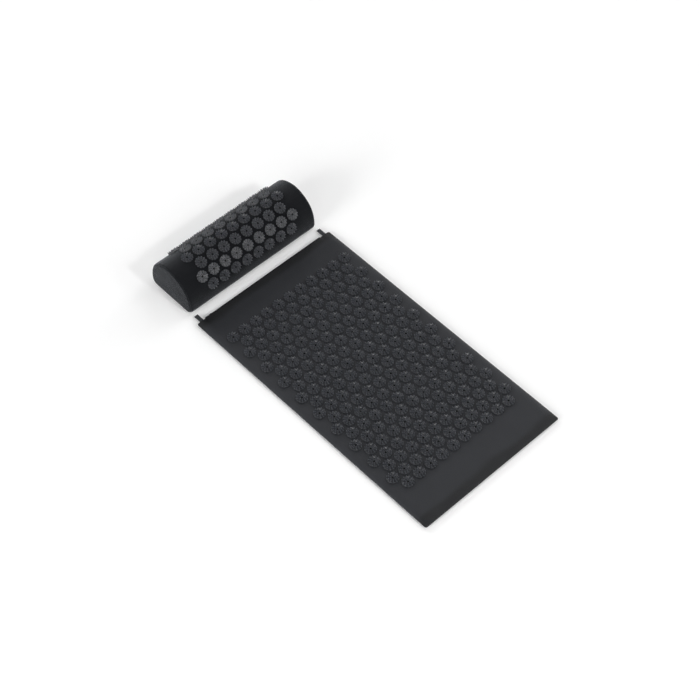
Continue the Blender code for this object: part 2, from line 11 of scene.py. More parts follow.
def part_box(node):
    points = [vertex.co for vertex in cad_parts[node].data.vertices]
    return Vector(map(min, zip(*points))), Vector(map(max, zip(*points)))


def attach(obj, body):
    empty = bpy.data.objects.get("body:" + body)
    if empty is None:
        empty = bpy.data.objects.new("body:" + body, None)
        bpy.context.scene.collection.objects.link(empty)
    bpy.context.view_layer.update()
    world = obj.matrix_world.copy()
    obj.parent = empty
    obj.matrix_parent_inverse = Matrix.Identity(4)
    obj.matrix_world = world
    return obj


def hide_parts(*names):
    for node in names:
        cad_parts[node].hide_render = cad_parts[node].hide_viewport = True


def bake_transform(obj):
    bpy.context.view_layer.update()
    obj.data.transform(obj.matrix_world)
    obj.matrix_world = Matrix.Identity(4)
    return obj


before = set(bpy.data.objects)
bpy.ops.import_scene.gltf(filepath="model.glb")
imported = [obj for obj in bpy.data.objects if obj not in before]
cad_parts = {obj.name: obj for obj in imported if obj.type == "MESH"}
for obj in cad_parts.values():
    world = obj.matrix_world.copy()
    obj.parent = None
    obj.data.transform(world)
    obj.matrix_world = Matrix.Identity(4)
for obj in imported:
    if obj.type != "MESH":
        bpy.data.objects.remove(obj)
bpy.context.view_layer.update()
scene = bpy.context.scene

MM = 0.001

# Camera of the photograph, in the solids' frame
CAMERA_PLACE = (-1.6080, -1.7216, 3.1092)
CAMERA_AIM = (0.413082, 0.440213, -0.797217)
CAMERA_LENS = 90.8
SENSOR_WIDTH = 36
CLIP_START, CLIP_END = 0.1, 50

# Studio lamps: name, direction from the object, size, and share of a plain white level
LAMP_AIM = (0, 0.05, 0)
LAMP_DISTANCE = 6
LAMPS = (
    ("left", (-1, 0, 0.35), 3, 0.71),
    ("back", (0, 0.9, 0.42), 2.2, 0.47),
    ("key", (0.08, -0.74, 0.67), 0.5, 0.24),
    ("front_right", (0.40, -0.78, 0.48), 2, 0.17),
    ("top_right", (0.7, 0, 0.8), 3, 0.165),
    ("front_left", (-0.75, -0.6, 0.4), 2, 0.16),
    ("right", (1, 0, 0.35), 2.5, 0.23),
    ("top", (0, 0, 1), 4, 0.06),
    ("back_right", (0.7, 0.7, 0.4), 2, 0.065),
    ("front", (0.2, -0.9, 0.3), 2, 0.05),
)
WORLD_SHARE = 0.015

# The floor grows whiter to the camera over these distances, and its rim rises as a backdrop
NEAR_WHITE, FAR_WHITE = 0.13, 0.95
WHITE_FROM, WHITE_TO = 1.6, 5.0
RIM_RADIUS, RIM_CURVE, RIM_HEIGHT = 30, 5, 9
FLOOR_RINGS = (1.5, 6, RIM_RADIUS - RIM_CURVE - 1)
FLOOR_SEGMENTS, FLOOR_SHADE, FLOOR_DROP = 96, 0.9, 0.05 * MM

# Mat cover, as in the solids
MAT_LOW, MAT_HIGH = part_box("mat_top_panel")
MAT_HALF_X, MAT_HALF_Y = (MAT_HIGH.x - MAT_LOW.x) / 2, (MAT_HIGH.y - MAT_LOW.y) / 2
MAT_MIDDLE_Y = (MAT_HIGH.y + MAT_LOW.y) / 2
MAT_SEAM_HEIGHT, MAT_RISE = 6 * MM, 6 * MM
HALF_SEAM_GAP = 0.15 * MM
CLOTH = 1.0 * MM
SIDE_SHOULDER, END_SHOULDER, UNDER_SHOULDER = 18 * MM, 28 * MM, 15 * MM
MAT_CORNER = 5 * MM
LOOP_FROM_SIDE = 14.5 * MM
ZIP_HALF_LENGTH = 170 * MM
ZIP_TAPER, ZIP_PAST_LIPS, ZIP_HALF_BAND = 7 * MM, 4 * MM, 3.6 * MM

# Grid of the covers: its steps, and how far in from the edges they are fine
FINEST_STEP, STEP_GROWTH, COARSEST_STEP = 0.25 * MM, 1.35, 3.5 * MM
SIDE_FINE, END_FINE, PILLOW_FINE = 34 * MM, 44 * MM, 16 * MM

# Lips of the mat's seam: where the zip's close, and the height, half width and taper at a loop
ZIP_LIP_CLOSING = 2 * MM
LOOP_LIP, LOOP_LIP_HALF, LOOP_LIP_TAPER = 1.05 * MM, 4.6 * MM, 2.2 * MM

# Painted shade on the cloth over an end shoulder: how far in it darkens and how softly, as shares of the
# shoulder's width
END_SHADE_SHARE, END_SHADE_FADE_SHARE = 1.05, 0.55

# Unevenness of the cloth: height, shortest and longest wave, and seed
SHOULDER_WANDER = (0.14, 60 * MM, 240 * MM, 3)
MAT_PUCKER = (0.22 * MM, 7 * MM, 16 * MM, 5)
MAT_SLACK = (0.12 * MM, 40 * MM, 150 * MM, 9)
PILLOW_PUCKER = (0.22 * MM, 7 * MM, 20 * MM, 21)
PILLOW_SLACK = (0.15 * MM, 35 * MM, 120 * MM, 22)
END_WRINKLE = (0.15 * MM, 9 * MM, 24 * MM, 31)
END_SLACK = (0.25 * MM, 30 * MM, 90 * MM, 35)
TAPE_RIPPLE = (0.05 * MM, 6 * MM, 30 * MM, 41)
# Where puckers and slack start, in from a seam, and how soon puckers fade
PUCKER_START, SLACK_START = 1.5 * MM, 30 * MM
MAT_PUCKER_FADE, PILLOW_PUCKER_FADE = 6 * MM, 10 * MM

# Mat's foam: how far it rises and falls from the seam's height, its lowest face, and its corners
FOAM_RISE, FOAM_FALL, FOAM_LOWEST, FOAM_CORNER = 4.4 * MM, 4.1 * MM, 4.7 * MM, 8 * MM

# Loops, as in the solids
LOOP_WIDTH, LOOP_LENGTH, LOOP_INSIDE = 10 * MM, 21 * MM, 3 * MM
WEBBING_THICKNESS, LOOP_HINGE = 0.8 * MM, 1.1 * MM

# Webbing: its ribs, how far its layers lie from the middle at the seam and the fold, and where they part
LOOP_RIBS, RIB_DEPTH_SHARE = 7, 0.16
LAYER_NEAR, LAYER_FAR = 0.42 * MM, 0.7 * MM
OPENS_FROM, OPENS_OVER = 5 * MM, 9 * MM

# Stitches across a loop
STITCH_ROWS, STITCHES_ACROSS, STITCH_PITCH = (3.0 * MM, 4.6 * MM), 5, 1.9 * MM
STITCH_LENGTH, STITCH_RADIUS = 1.5 * MM, 0.2 * MM

# Zips, as in the solids
ZIP_RECESS = 2.5 * MM
COIL_PITCH, COIL_RADIUS, COIL_REACH = 1.5 * MM, 0.3 * MM, 0.75 * MM
CHAIN_BACK, CHAIN_FRONT = 0.3 * MM, 1.9 * MM
SLIDER_HALF_LENGTH, SLIDER_HALF_WIDTH, SLIDER_FRONT = 4 * MM, 3.1 * MM, 3.2 * MM
CHANNEL_HALF_WIDTH, CHANNEL_FRONT = 2.05 * MM, 2.2 * MM
BRIDGE_FRONT = 5.8 * MM
PULLER_AXIS = 4.1 * MM
PULLER_LENGTH, PULLER_WIDTH, PULLER_THICKNESS = 18 * MM, 4 * MM, 1 * MM
SLIDER_FROM_ZIP_END = 12 * MM
TAPE_INNER, MAT_TAPE_OUTER, PILLOW_TAPE_OUTER = 0.2 * MM, 4.1 * MM, 4.6 * MM

# Section of a tape in millimetres: from its inner or its outer edge, and height
TAPE_FACE = ((0, -0.1), (0.1, 0.0), (0.5, -0.03), (0.9, -0.12))
TAPE_OUTER_EDGE = ((-0.1, -0.12), (0, -0.2), (0, -0.42), (-0.1, -0.5))
TAPE_BACK = ((0.9, -0.5), (0.1, -0.6), (0, -0.5))
# A tape is wavy out from its cord, and past the lips it narrows from here out, by this share
TAPE_CORD, TAPE_NARROWS_FROM, TAPE_NARROWS_SHARE = 0.8 * MM, 1 * MM, 0.78

# Slider's sections from tail to mouth: place as a share, drop of the front in millimetres, and width share
SLIDER_SECTIONS = (
    *((-1, 0.4, 0.84), (-0.95, 0.12, 0.87), (-0.82, 0, 0.89), (-0.2, 0, 0.91)),
    *((0.3, 0, 0.98), (0.82, 0, 1), (0.95, 0.12, 0.98), (1, 0.4, 0.95)),
)
# Rounded front edge of the slider in millimetres: in from the side, and down from the front
SLIDER_EDGE = ((0, 0.6), (0.12, 0.28), (0.35, 0.08), (0.7, 0))
# Bridge: half its span, its sinking, half its thickness, its curve's power, and half its section in mm
BRIDGE_HALF_SPAN, BRIDGE_SINK, BRIDGE_HALF, BRIDGE_POWER = 1.6 * MM, 0.5 * MM, 0.4 * MM, 0.6
BRIDGE_SECTION = ((0.4, 0.6), (0.28, 0.75), (0.0, 0.8), (-0.28, 0.75), (-0.4, 0.6))

# Puller, in millimetres where bare: its sides as places and width shares, its eye's far end, and grip ribs
PULLER_WAIST = ((-1.0, 1), (-4.2, 0.92), (-6.5, 0.72), (-9, 0.8), (-12, 1))
PULLER_CORNER, PULLER_EDGE = 1.2 * MM, 0.16 * MM
PULLER_EYE = ((-3.2, -1.2), (-3.7, -0.7), (-3.7, 0.7), (-3.2, 1.2))
GRIP_RIBS, GRIP_FROM_TIP, GRIP_PITCH, GRIP_RADIUS = 4, 2.0, 1.5, 0.6 * MM
GRIP_ACROSS, GRIP_SHARES = (-1.35, -1.2, 1.2, 1.35), (0.8, 1, 1, 0.8)

# Pillow section, as in the solids
PILLOW_LENGTH, PILLOW_DEPTH, PILLOW_HEIGHT = 378 * MM, 138 * MM, 98.7 * MM
PILLOW_FOOT, PILLOW_END_RADIUS = 18 * MM, 7 * MM
PILLOW_SIDE_POWER, PILLOW_CROWN_POWER = 1.84, 2.53
PILLOW_PLACE = Vector((-2.2, 376.35, 0)) * MM
PILLOW_ZIP_HEIGHT, PILLOW_ZIP_HALF = 20 * MM, 177 * MM
PILLOW_ROW_TO_FOOT = 36.94 * MM
PILLOW_CLOTH = 0.7 * CLOTH

# Lips of the pillow's zip: where they close, half the gap they leave, and how far off the cloth follows
PILLOW_LIP_CLOSING, PILLOW_LIP_GAP = 4 * MM, 0.15 * MM
TOP_FOLLOWS, BASE_FOLLOWS = 20 * MM, 14 * MM
# Cloth curling in at a zip lip, in millimetres: back along the section, and inwards
LIP_BACK = (1.1, 0.6, 0.25, 0.08, 0, 0)
LIP_INWARD = (0, 0.06, 0.25, 0.6, 1.1, 1.9)

# Cloth rolling out of the seam in the pillow's end edge: degrees from the seam, and depth in millimetres
SEAM_ROLL = ((0.5, 1.3), (0.5, 0.9), (0.7, 0.5), (1.5, 0.2), (3, 0.05), (5.5, 0.0))
# Degrees from that seam at which a panel's cloth is flat again
ROLL_DEGREES = 11
# End panel: its dome, the middle of its rings as a share of the height, and how near it they come
END_DOME = 1.2 * MM
END_MIDDLE_SHARE, END_REACH_SHARE = 0.42, 0.985

# Pillow's foam: its gap to the cover, and the channel behind the zip
FOAM_GAP = 1.6 * MM
ZIP_CHANNEL_HALF, ZIP_CHANNEL_DEPTH = 5.2 * MM, 3.7 * MM

# Discs
MAT_DISC_ROWS, PILLOW_DISC_ROWS = 20, 7
DISC_PITCH = 33.6 * MM
DISC_RADIUS, DISC_PLATE, DISC_LIFT = 13.9 * MM, 1.8 * MM, 0.3 * MM
DISC_PETALS, DISC_SEGMENTS = 12, 96
SPIKE_HEIGHT, SPIKE_SIDES = 3.6 * MM, 10
GROOVE_DEPTH, PETAL_NOTCH, HOLE_RADIUS = 0.9 * MM, 0.95 * MM, 2.1 * MM
PILLOW_DISC_TURN = math.radians(18)
# Grooves inwards over the plate: shares of the rim's radius and of the grooves' depth
GROOVE_SHARES = ((0.88, 1), (0.76, 0.95), (0.64, 0.88), (0.52, 0.78), (0.4, 0.62), (0.28, 0.42))
# Edges of a disc that turn by more than this are sharp
CREASE = math.radians(50)
# Rings of spikes: count, radius, first angle, half the base's length and width, and the tip's lean outwards
SPIKE_RINGS = (
    (12, 12.35 * MM, 0, 1.45 * MM, 1.45 * MM, 0.9 * MM),
    (9, 8.6 * MM, 35, 2.1 * MM, 1.25 * MM, 0.3 * MM),
    (6, 4.8 * MM, 0, 1.7 * MM, 1.15 * MM, 0.0),
)
# Height, and width as a share of the base's, up a spike
SPIKE_LEVELS = ((-0.2, 1.1), (0.05, 0.94), (0.3, 0.72), (0.6, 0.47), (0.88, 0.25), (0.97, 0.14))


def waves(u, v, seed, shortest, longest):
    """Smooth seeded waviness over two coordinates, about 1 high."""
    count = 12
    draw = np.random.default_rng(seed)
    total = np.zeros(np.broadcast(u, v).shape)
    for _ in range(count):
        length = math.exp(draw.uniform(math.log(shortest), math.log(longest)))
        turn = draw.uniform(0, 2 * math.pi)
        phase = draw.uniform(0, 2 * math.pi)
        total += np.sin((u * math.cos(turn) + v * math.sin(turn)) * 2 * math.pi / length + phase)
    return total / math.sqrt(count)


def uneven(u, v, form, side=0):
    """Waviness of one of the forms above, with a draw of its own for each side."""
    height, shortest, longest, seed = form
    return height * waves(u, v, seed + side, shortest, longest)


def ease(x):
    x = np.clip(x, 0, 1)
    return x * x * (3 - 2 * x)


def circle(count):
    """This many angles, evenly all round."""
    return np.arange(count) * 2 * math.pi / count


def unit(vectors):
    return vectors / np.linalg.norm(vectors, axis=-1, keepdims=True)


def stacked(*values):
    """Coordinates side by side as points, with single numbers repeated."""
    return np.stack(np.broadcast_arrays(*values), -1)


def flipped(faces, when=True):
    return [face[::-1] for face in faces] if when else faces


def run_length(path):
    """Length along a path at each of its points."""
    return np.concatenate([[0], np.cumsum(np.linalg.norm(np.diff(path, axis=0), axis=1))])


# Materials


def feed(tree, node, inputs):
    """Sets a node's inputs, each to a value or from another node's socket."""
    for key, value in inputs.items():
        if isinstance(value, bpy.types.NodeSocket):
            tree.links.new(value, node.inputs[key])
        else:
            node.inputs[key].default_value = value


def add_node(tree, kind, inputs=None, **settings):
    made = tree.nodes.new(kind)
    for key, value in settings.items():
        setattr(made, key, value)
    feed(tree, made, inputs or {})
    return made


def calc(tree, operation, *values):
    return add_node(tree, "ShaderNodeMath", dict(enumerate(values)), operation=operation).outputs[0]


def noise_node(tree, vector, scale, detail=2.0):
    made = add_node(tree, "ShaderNodeTexNoise", {"Vector": vector, "Scale": scale, "Detail": detail})
    return made.outputs["Fac"]


def map_range(tree, value, source, target, **settings):
    """Maps the source's low to high on to the target's."""
    inputs = {"Value": value, "From Min": source[0], "From Max": source[1]}
    inputs |= {"To Min": target[0], "To Max": target[1]}
    return add_node(tree, "ShaderNodeMapRange", inputs, **settings).outputs["Result"]


def spread(tree, value, low, high):
    """Maps the range in which most of a noise lies to low to high."""
    return map_range(tree, value, (0.3, 0.7), (low, high))


def new_material(name, colour, roughness, metallic=0.0, specular=0.5):
    material = bpy.data.materials.new(name)
    material.use_nodes = True
    shader = material.node_tree.nodes["Principled BSDF"]
    material.diffuse_color = (*colour, 1)
    inputs = {"Base Color": (*colour, 1), "Roughness": roughness, "Metallic": metallic}
    feed(material.node_tree, shader, inputs | {"Specular IOR Level": specular})
    return material, material.node_tree, shader


def vary_colour(tree, shader, factor, colour, dark, light):
    """Links a base colour that runs from dark to light times the colour."""
    ends = {key: (*[c * share for c in colour], 1) for key, share in (("A", dark), ("B", light))}
    mix = add_node(tree, "ShaderNodeMix", {"Factor": factor} | ends, data_type="RGBA", clamp_factor=False)
    feed(tree, shader, {"Base Color": mix.outputs["Result"]})


def bump(tree, shader, height, strength, distance):
    made = add_node(tree, "ShaderNodeBump", {"Height": height, "Strength": strength, "Distance": distance})
    feed(tree, shader, {"Normal": made.outputs["Normal"]})


def weave_height(tree, vector, pitch):
    """Plain weave: threads both ways, each over and under by turns."""
    apart = add_node(tree, "ShaderNodeSeparateXYZ", {"Vector": vector})
    profiles, cells = [], []
    for axis in ("X", "Y"):
        turns = calc(tree, "DIVIDE", apart.outputs[axis], pitch)
        cells.append(calc(tree, "FLOOR", turns))
        swing = calc(tree, "SUBTRACT", calc(tree, "FRACT", turns), 0.5)
        profiles.append(calc(tree, "MULTIPLY_ADD", calc(tree, "MULTIPLY", swing, swing), -4.0, 1.0))
    parity = calc(tree, "PINGPONG", calc(tree, "ADD", *cells), 1.0)
    tops = []
    for over, under in (profiles, profiles[::-1]):
        tops.append(calc(tree, "MULTIPLY", over, calc(tree, "MULTIPLY_ADD", under, 0.5, 0.5)))
    mix = add_node(tree, "ShaderNodeMix", {"Factor": parity, "A": tops[0], "B": tops[1]}, data_type="FLOAT")
    return mix.outputs["Result"]


def cloth_material(name, colour, pitch, sheen, roughness=0.9, depth=0.12 * MM, specular=0.25, shoulder_shade=0.0):
    """Woven cloth: its threads come from the "cloth" attribute, which holds metres along the cloth.

    Where the edge attribute is up, the colour is darker by this much: painted shade over the mat's end
    shoulders.
    """
    material, tree, shader = new_material(name, colour, roughness, specular=specular)
    place = add_node(tree, "ShaderNodeAttribute", attribute_name="cloth").outputs["Vector"]
    weave = weave_height(tree, place, pitch)
    fibres = noise_node(tree, place, 1 / pitch, 3.0)
    patches = noise_node(tree, place, 22.0, 3.0)
    shade = calc(tree, "MULTIPLY_ADD", weave, 0.35, calc(tree, "MULTIPLY", fibres, 0.35))
    shade = calc(tree, "MULTIPLY_ADD", patches, 0.3, shade)
    shade = spread(tree, shade, 0, 1)
    # Painted shade: the cloth's colour darkens where the edge attribute marks an end shoulder
    if shoulder_shade:
        edge = add_node(tree, "ShaderNodeAttribute", attribute_name="edge").outputs["Fac"]
        shade = calc(tree, "MULTIPLY_ADD", edge, -shoulder_shade, shade)
    vary_colour(tree, shader, shade, colour, 0.82, 1.18)
    bump(tree, shader, calc(tree, "MULTIPLY_ADD", fibres, 0.3, weave), 0.6, depth)
    tint = (0.90, 0.94, 1.0, 1)
    feed(tree, shader, {"Sheen Weight": sheen, "Sheen Roughness": 0.4, "Sheen Tint": tint})
    return material


def plastic_material(name, colour, roughness, grain=0.02 * MM, specular=0.5, painted_relief_light=0.0):
    """Moulded plastic with a fine grain and slightly uneven gloss.

    With painted light, the lift attribute makes it paler up its spikes, a painted highlight, and darker in
    its grooves and down its rim, painted shade.
    """
    material, tree, shader = new_material(name, colour, roughness, specular=specular)
    place = add_node(tree, "ShaderNodeTexCoord").outputs["Object"]
    cloud = noise_node(tree, place, 60.0, 3.0)
    shade = spread(tree, cloud, 0.42, 0.58)
    # Painted highlight up the spikes and painted shade in the grooves and down the rim, from the lift
    # attribute
    if painted_relief_light:
        lift = add_node(tree, "ShaderNodeAttribute", attribute_name="lift").outputs["Fac"]
        shade = calc(tree, "MULTIPLY_ADD", lift, painted_relief_light, shade)
    vary_colour(tree, shader, shade, colour, 0.5, 1.5)
    fine = noise_node(tree, place, 2600.0)
    feed(tree, shader, {"Roughness": spread(tree, cloud, roughness - 0.05, roughness + 0.06)})
    bump(tree, shader, fine, 0.35, grain)
    return material


def foam_material(name, colour):
    """Open-cell foam, paler in the middle of each cell."""
    material, tree, shader = new_material(name, colour, 0.95, specular=0.2)
    place = add_node(tree, "ShaderNodeTexCoord").outputs["Object"]
    cells = add_node(tree, "ShaderNodeTexVoronoi", {"Vector": place, "Scale": 900.0}).outputs["Distance"]
    vary_colour(tree, shader, cells, colour, 1.05, 0.6)
    bump(tree, shader, cells, 0.8, 0.4 * MM)
    return material


def metal_material(name, colour, roughness):
    """Dark metal with a fine grain and patchy gloss."""
    material, tree, shader = new_material(name, colour, roughness, metallic=1.0)
    place = add_node(tree, "ShaderNodeTexCoord").outputs["Object"]
    cloud = noise_node(tree, place, 400.0, 4.0)
    vary_colour(tree, shader, spread(tree, cloud, 0, 1), colour, 0.85, 1.15)
    feed(tree, shader, {"Roughness": spread(tree, cloud, roughness - 0.06, roughness + 0.1)})
    bump(tree, shader, cloud, 0.2, 0.02 * MM)
    return material


COVER_COLOUR = (0.0156, 0.0168, 0.0206)
PILLOW_COLOUR = (0.0058, 0.0063, 0.0078)

# The mat's cover is darkened over its end shoulders with painted shade
COVER = cloth_material("cover_cloth", COVER_COLOUR, 0.55 * MM, 0.0, 0.62, specular=0.4, shoulder_shade=1.8)
PILLOW_COVER = cloth_material("pillow_cloth", PILLOW_COLOUR, 0.45 * MM, 0.36, specular=0.12)
PILLOW_END = cloth_material("pillow_end_cloth", PILLOW_COLOUR, 0.45 * MM, 0.34, specular=0.12)
# Disc plastic with painted highlights up its spikes and painted shade in its grooves
PLASTIC = plastic_material("disc_plastic", (0.0222, 0.0244, 0.0297), 0.36, specular=0.8, painted_relief_light=2.6)
# Near-black plastic lining the centre hole: painted shade of the recess
HOLE_PAINTED_SHADE = plastic_material("disc_hole_painted_shade", (0.006, 0.006, 0.007), 0.8, specular=0.1)
FOAM = foam_material("foam", (0.62, 0.60, 0.55))
WEBBING = cloth_material("webbing", (0.040, 0.042, 0.046), 0.8 * MM, 0.1, depth=0.25 * MM)
TAPE = cloth_material("zip_tape", (0.020, 0.021, 0.023), 0.5 * MM, 0.05, depth=0.2 * MM)
COIL = plastic_material("zip_coil", (0.018, 0.018, 0.020), 0.33)
METAL = metal_material("zip_metal", (0.10, 0.10, 0.11), 0.30)
THREAD = cloth_material("thread", (0.030, 0.031, 0.034), 0.25 * MM, 0.2, depth=0.08 * MM)


# Meshes


def add_object(name, data):
    obj = bpy.data.objects.new(name, data)
    scene.collection.objects.link(obj)
    return obj


def store(mesh, name, values, kind="FLOAT", domain="POINT"):
    """Keeps an attribute on a mesh: a value or a vector for each point or edge."""
    key = "vector" if kind == "FLOAT_VECTOR" else "value"
    values = np.asarray(values, bool if kind == "BOOLEAN" else np.float32)
    mesh.attributes.new(name, kind, domain).data.foreach_set(key, values.ravel())


def mesh_of(name, points, faces, cloth=None, slots=None, sharp=None):
    """A smooth mesh, with cloth coordinates, material slots and the angle of its sharp edges if given."""
    mesh = bpy.data.meshes.new(name)
    mesh.from_pydata(np.asarray(points).reshape(-1, 3).tolist(), (), [list(f) for f in faces])
    if cloth is not None:
        store(mesh, "cloth", cloth, "FLOAT_VECTOR")
    if slots is not None:
        mesh.polygons.foreach_set("material_index", slots)
    mesh.shade_smooth()
    if sharp is not None:
        mesh.set_sharp_from_angle(angle=math.radians(sharp))
    return mesh


def grid_faces(rows, columns, wrap=False):
    """Quads over a grid of points, looking along columns cross rows."""
    index = np.arange(rows * columns).reshape(rows, columns)
    if wrap:
        index = np.hstack([index, index[:, :1]])
    corners = [index[:-1, :-1], index[:-1, 1:], index[1:, 1:], index[1:, :-1]]
    return np.stack(corners, -1).reshape(-1, 4).tolist()


def piece(name, mesh, material, body, replaces=(), more=()):
    """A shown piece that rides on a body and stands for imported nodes."""
    obj = add_object(name, mesh)
    for entry in (material, *more):
        mesh.materials.append(entry)
    if replaces:
        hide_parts(*replaces)
    if body:
        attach(obj, body)
    return obj


def thicken(obj, thickness):
    wall = obj.modifiers.new("Wall", "SOLIDIFY")
    wall.thickness = thickness
    wall.offset = -1
    wall.use_even_offset = True


def swept(sections):
    """A closed solid through sections of as many points each, with flat ends."""
    sections = np.asarray(sections)
    rows, columns = sections.shape[:2]
    faces = grid_faces(rows, columns, wrap=True)
    faces.append(list(range(columns))[::-1])
    faces.append([(rows - 1) * columns + i for i in range(columns)])
    return sections.reshape(-1, 3), faces


def joined(parts):
    """Points and faces of several solids as one."""
    points, faces, start = [], [], 0
    for part_points, part_faces in parts:
        points.append(part_points)
        faces += [[start + i for i in face] for face in part_faces]
        start += len(part_points)
    return np.concatenate(points), faces


def fused(first, second):
    """Points and faces of the union of two solids."""
    both, other = (add_object("solid", mesh_of("solid", *shape)) for shape in (first, second))
    union = both.modifiers.new("Union", "BOOLEAN")
    union.operation, union.solver, union.object = "UNION", "MANIFOLD", other
    mesh = both.evaluated_get(bpy.context.evaluated_depsgraph_get()).to_mesh()
    points = np.array([vertex.co[:] for vertex in mesh.vertices])
    faces = [list(polygon.vertices) for polygon in mesh.polygons]
    for obj in (both, other):
        bpy.data.objects.remove(obj)
    return points, faces


def face_normal(points):
    normal = np.cross(points, np.roll(points, -1, 0)).sum(0)
    return normal / max(np.linalg.norm(normal), 1e-12)


def flat_shape(loops, thickness, rounding):
    """Points and faces of a flat shape with rounded edges: its first loop is the edge, the others holes."""
    curve = bpy.data.curves.new("outline", "CURVE")
    curve.dimensions, curve.fill_mode = "2D", "BOTH"
    curve.extrude, curve.bevel_depth, curve.bevel_resolution = thickness / 2 - rounding, rounding, 2
    curve.offset = -rounding
    for loop in loops:
        spline = curve.splines.new("POLY")
        spline.points.add(len(loop) - 1)
        spline.use_cyclic_u = True
        for point, (u, v) in zip(spline.points, loop):
            point.co = (u, v, 0, 1)
    obj = add_object("outline", curve)
    bm = bmesh.new()
    bm.from_mesh(obj.evaluated_get(bpy.context.evaluated_depsgraph_get()).to_mesh())
    bmesh.ops.remove_doubles(bm, verts=bm.verts, dist=0.005 * MM)
    bmesh.ops.recalc_face_normals(bm, faces=bm.faces)
    points = np.array([vertex.co[:] for vertex in bm.verts])
    faces = [[vertex.index for vertex in face.verts] for face in bm.faces]
    bm.free()
    bpy.data.objects.remove(obj)
    return points, faces


def tube(path, radius, sides):
    """A closed round cord along points that turn little about X."""
    path = np.asarray(path)
    along = unit(np.gradient(path, axis=0))
    first = unit(np.cross(along, (1.0, 0.02, 0.03)))
    second = np.cross(along, first)
    angles = circle(sides)
    ring = first[:, None] * np.cos(angles)[:, None] + second[:, None] * np.sin(angles)[:, None]
    return swept(path[:, None] + ring * np.asarray(radius).reshape(-1, 1, 1))


# Discs


def disc_plate():
    """A round plate of petals, with a groove between each two and a blind centre hole."""
    angles = circle(DISC_SEGMENTS)
    between = np.clip(-np.cos(DISC_PETALS * angles), 0, 1)
    rim = DISC_RADIUS - PETAL_NOTCH * between**2
    top = DISC_PLATE
    # Radius, height, and share of the groove's depth
    rings = [
        (rim - 1.2 * MM, 0.0, 0),
        (rim - 0.1 * MM, 0.55 * MM, 0),
        (rim, 0.7 * MM, 0),
        (rim, top - 0.2 * MM, 0.8),
        (rim - 0.12 * MM, top - 0.04 * MM, 1),
        (rim - 0.35 * MM, top, 1),
    ]
    rings += [(rim * share, top, depth) for share, depth in GROOVE_SHARES]
    rings += [
        (HOLE_RADIUS + 0.5 * MM, top, 0.25),
        (HOLE_RADIUS + 0.1 * MM, top - 0.15 * MM, 0.1),
        (HOLE_RADIUS, top - 0.4 * MM, 0),
        (HOLE_RADIUS, 0.25 * MM, 0),
    ]
    sections = []
    for radius, height, depth in rings:
        z = height - depth * GROOVE_DEPTH * between**1.5
        sections.append(stacked(radius * np.cos(angles), radius * np.sin(angles), z))
    return swept(sections)


def spike(radius, turn, along, across, lean):
    """A round-tipped spike on an oval base that is longer along the radius."""
    angles = circle(SPIKE_SIDES)
    sections = []
    for z, share in SPIKE_LEVELS:
        u = radius + lean * z + along * share * np.cos(angles)
        v = across * share * np.sin(angles)
        x, y = u * math.cos(turn) - v * math.sin(turn), u * math.sin(turn) + v * math.cos(turn)
        sections.append(stacked(x, y, DISC_PLATE + z * SPIKE_HEIGHT))
    points, faces = swept(sections)
    tip = faces.pop()
    top = ((radius + lean) * math.cos(turn), (radius + lean) * math.sin(turn), DISC_PLATE + SPIKE_HEIGHT)
    points = np.concatenate([points, [top]])
    faces += [[tip[i], tip[(i + 1) % SPIKE_SIDES], len(points) - 1] for i in range(SPIKE_SIDES)]
    return points, faces


def disc_shape():
    """A disc's plate and spikes in one skin: points, faces, slots, and sharp edges as pairs of points."""
    spikes = []
    for count, radius, first, *form in SPIKE_RINGS:
        for i in range(count):
            spikes.append(spike(radius, math.radians(first + i * 360 / count), *form))
    points, faces = fused(disc_plate(), joined(spikes))
    slots, normals, on_top, edges = [], [], [], {}
    for index, face in enumerate(faces):
        middle = points[face].mean(0)
        in_hole = math.hypot(middle[0], middle[1]) < HOLE_RADIUS + 0.05 * MM and middle[2] > 0.1 * MM
        # Faces inside the hole take the second slot, the hole's painted shade
        slots.append(int(in_hole))
        normals.append(face_normal(points[face]))
        on_top.append(normals[-1][2] > 0.9)
        for start, end in zip(face, face[1:] + face[:1]):
            edges.setdefault((min(start, end), max(start, end)), []).append(index)
    sharp = []
    for edge, (first, second) in edges.items():
        bent = float(normals[first] @ normals[second]) < math.cos(CREASE)
        if on_top[first] != on_top[second] or bent:
            sharp.append(edge)
    return points, faces, slots, sharp


DISC = disc_shape()


def disc_row(body, row, matrix, turn=0):
    """A row of discs along X in the matrix's frame, standing for a packed row."""
    name, node = f"{body}_discs_{row}", f"{body}_disc_row_{row}"
    low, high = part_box(node)
    count = round((high.x - low.x - 2 * DISC_RADIUS) / DISC_PITCH) + 1
    one, faces, slots, sharp = DISC
    one = one @ np.array(Matrix.Rotation(turn, 3, "Z")).T
    points, all_faces = joined(
        [(one + [(i - (count - 1) / 2) * DISC_PITCH, 0, 0], faces) for i in range(count)]
    )
    points = points @ np.array(matrix.to_3x3()).T + np.array(matrix.translation)
    mesh = mesh_of(name, points, all_faces, slots=slots * count)
    ends = np.zeros(2 * len(mesh.edges), int)
    mesh.edges.foreach_get("vertices", ends)
    ends = np.sort(ends.reshape(-1, 2) % len(one), axis=1)
    keys = [start * len(one) + end for start, end in sharp]
    store(mesh, "sharp_edge", np.isin(ends[:, 0] * len(one) + ends[:, 1], keys), "BOOLEAN", "EDGE")
    # Height up a spike, below zero in the grooves and down the rim: drives the plastic's painted highlights
    # and painted shade
    lift = np.clip((one[:, 2] - DISC_PLATE) / SPIKE_HEIGHT, -0.3, 1)
    store(mesh, "lift", np.tile(lift, count))
    piece(name, mesh, PLASTIC, body, (node,), (HOLE_PAINTED_SHADE,))


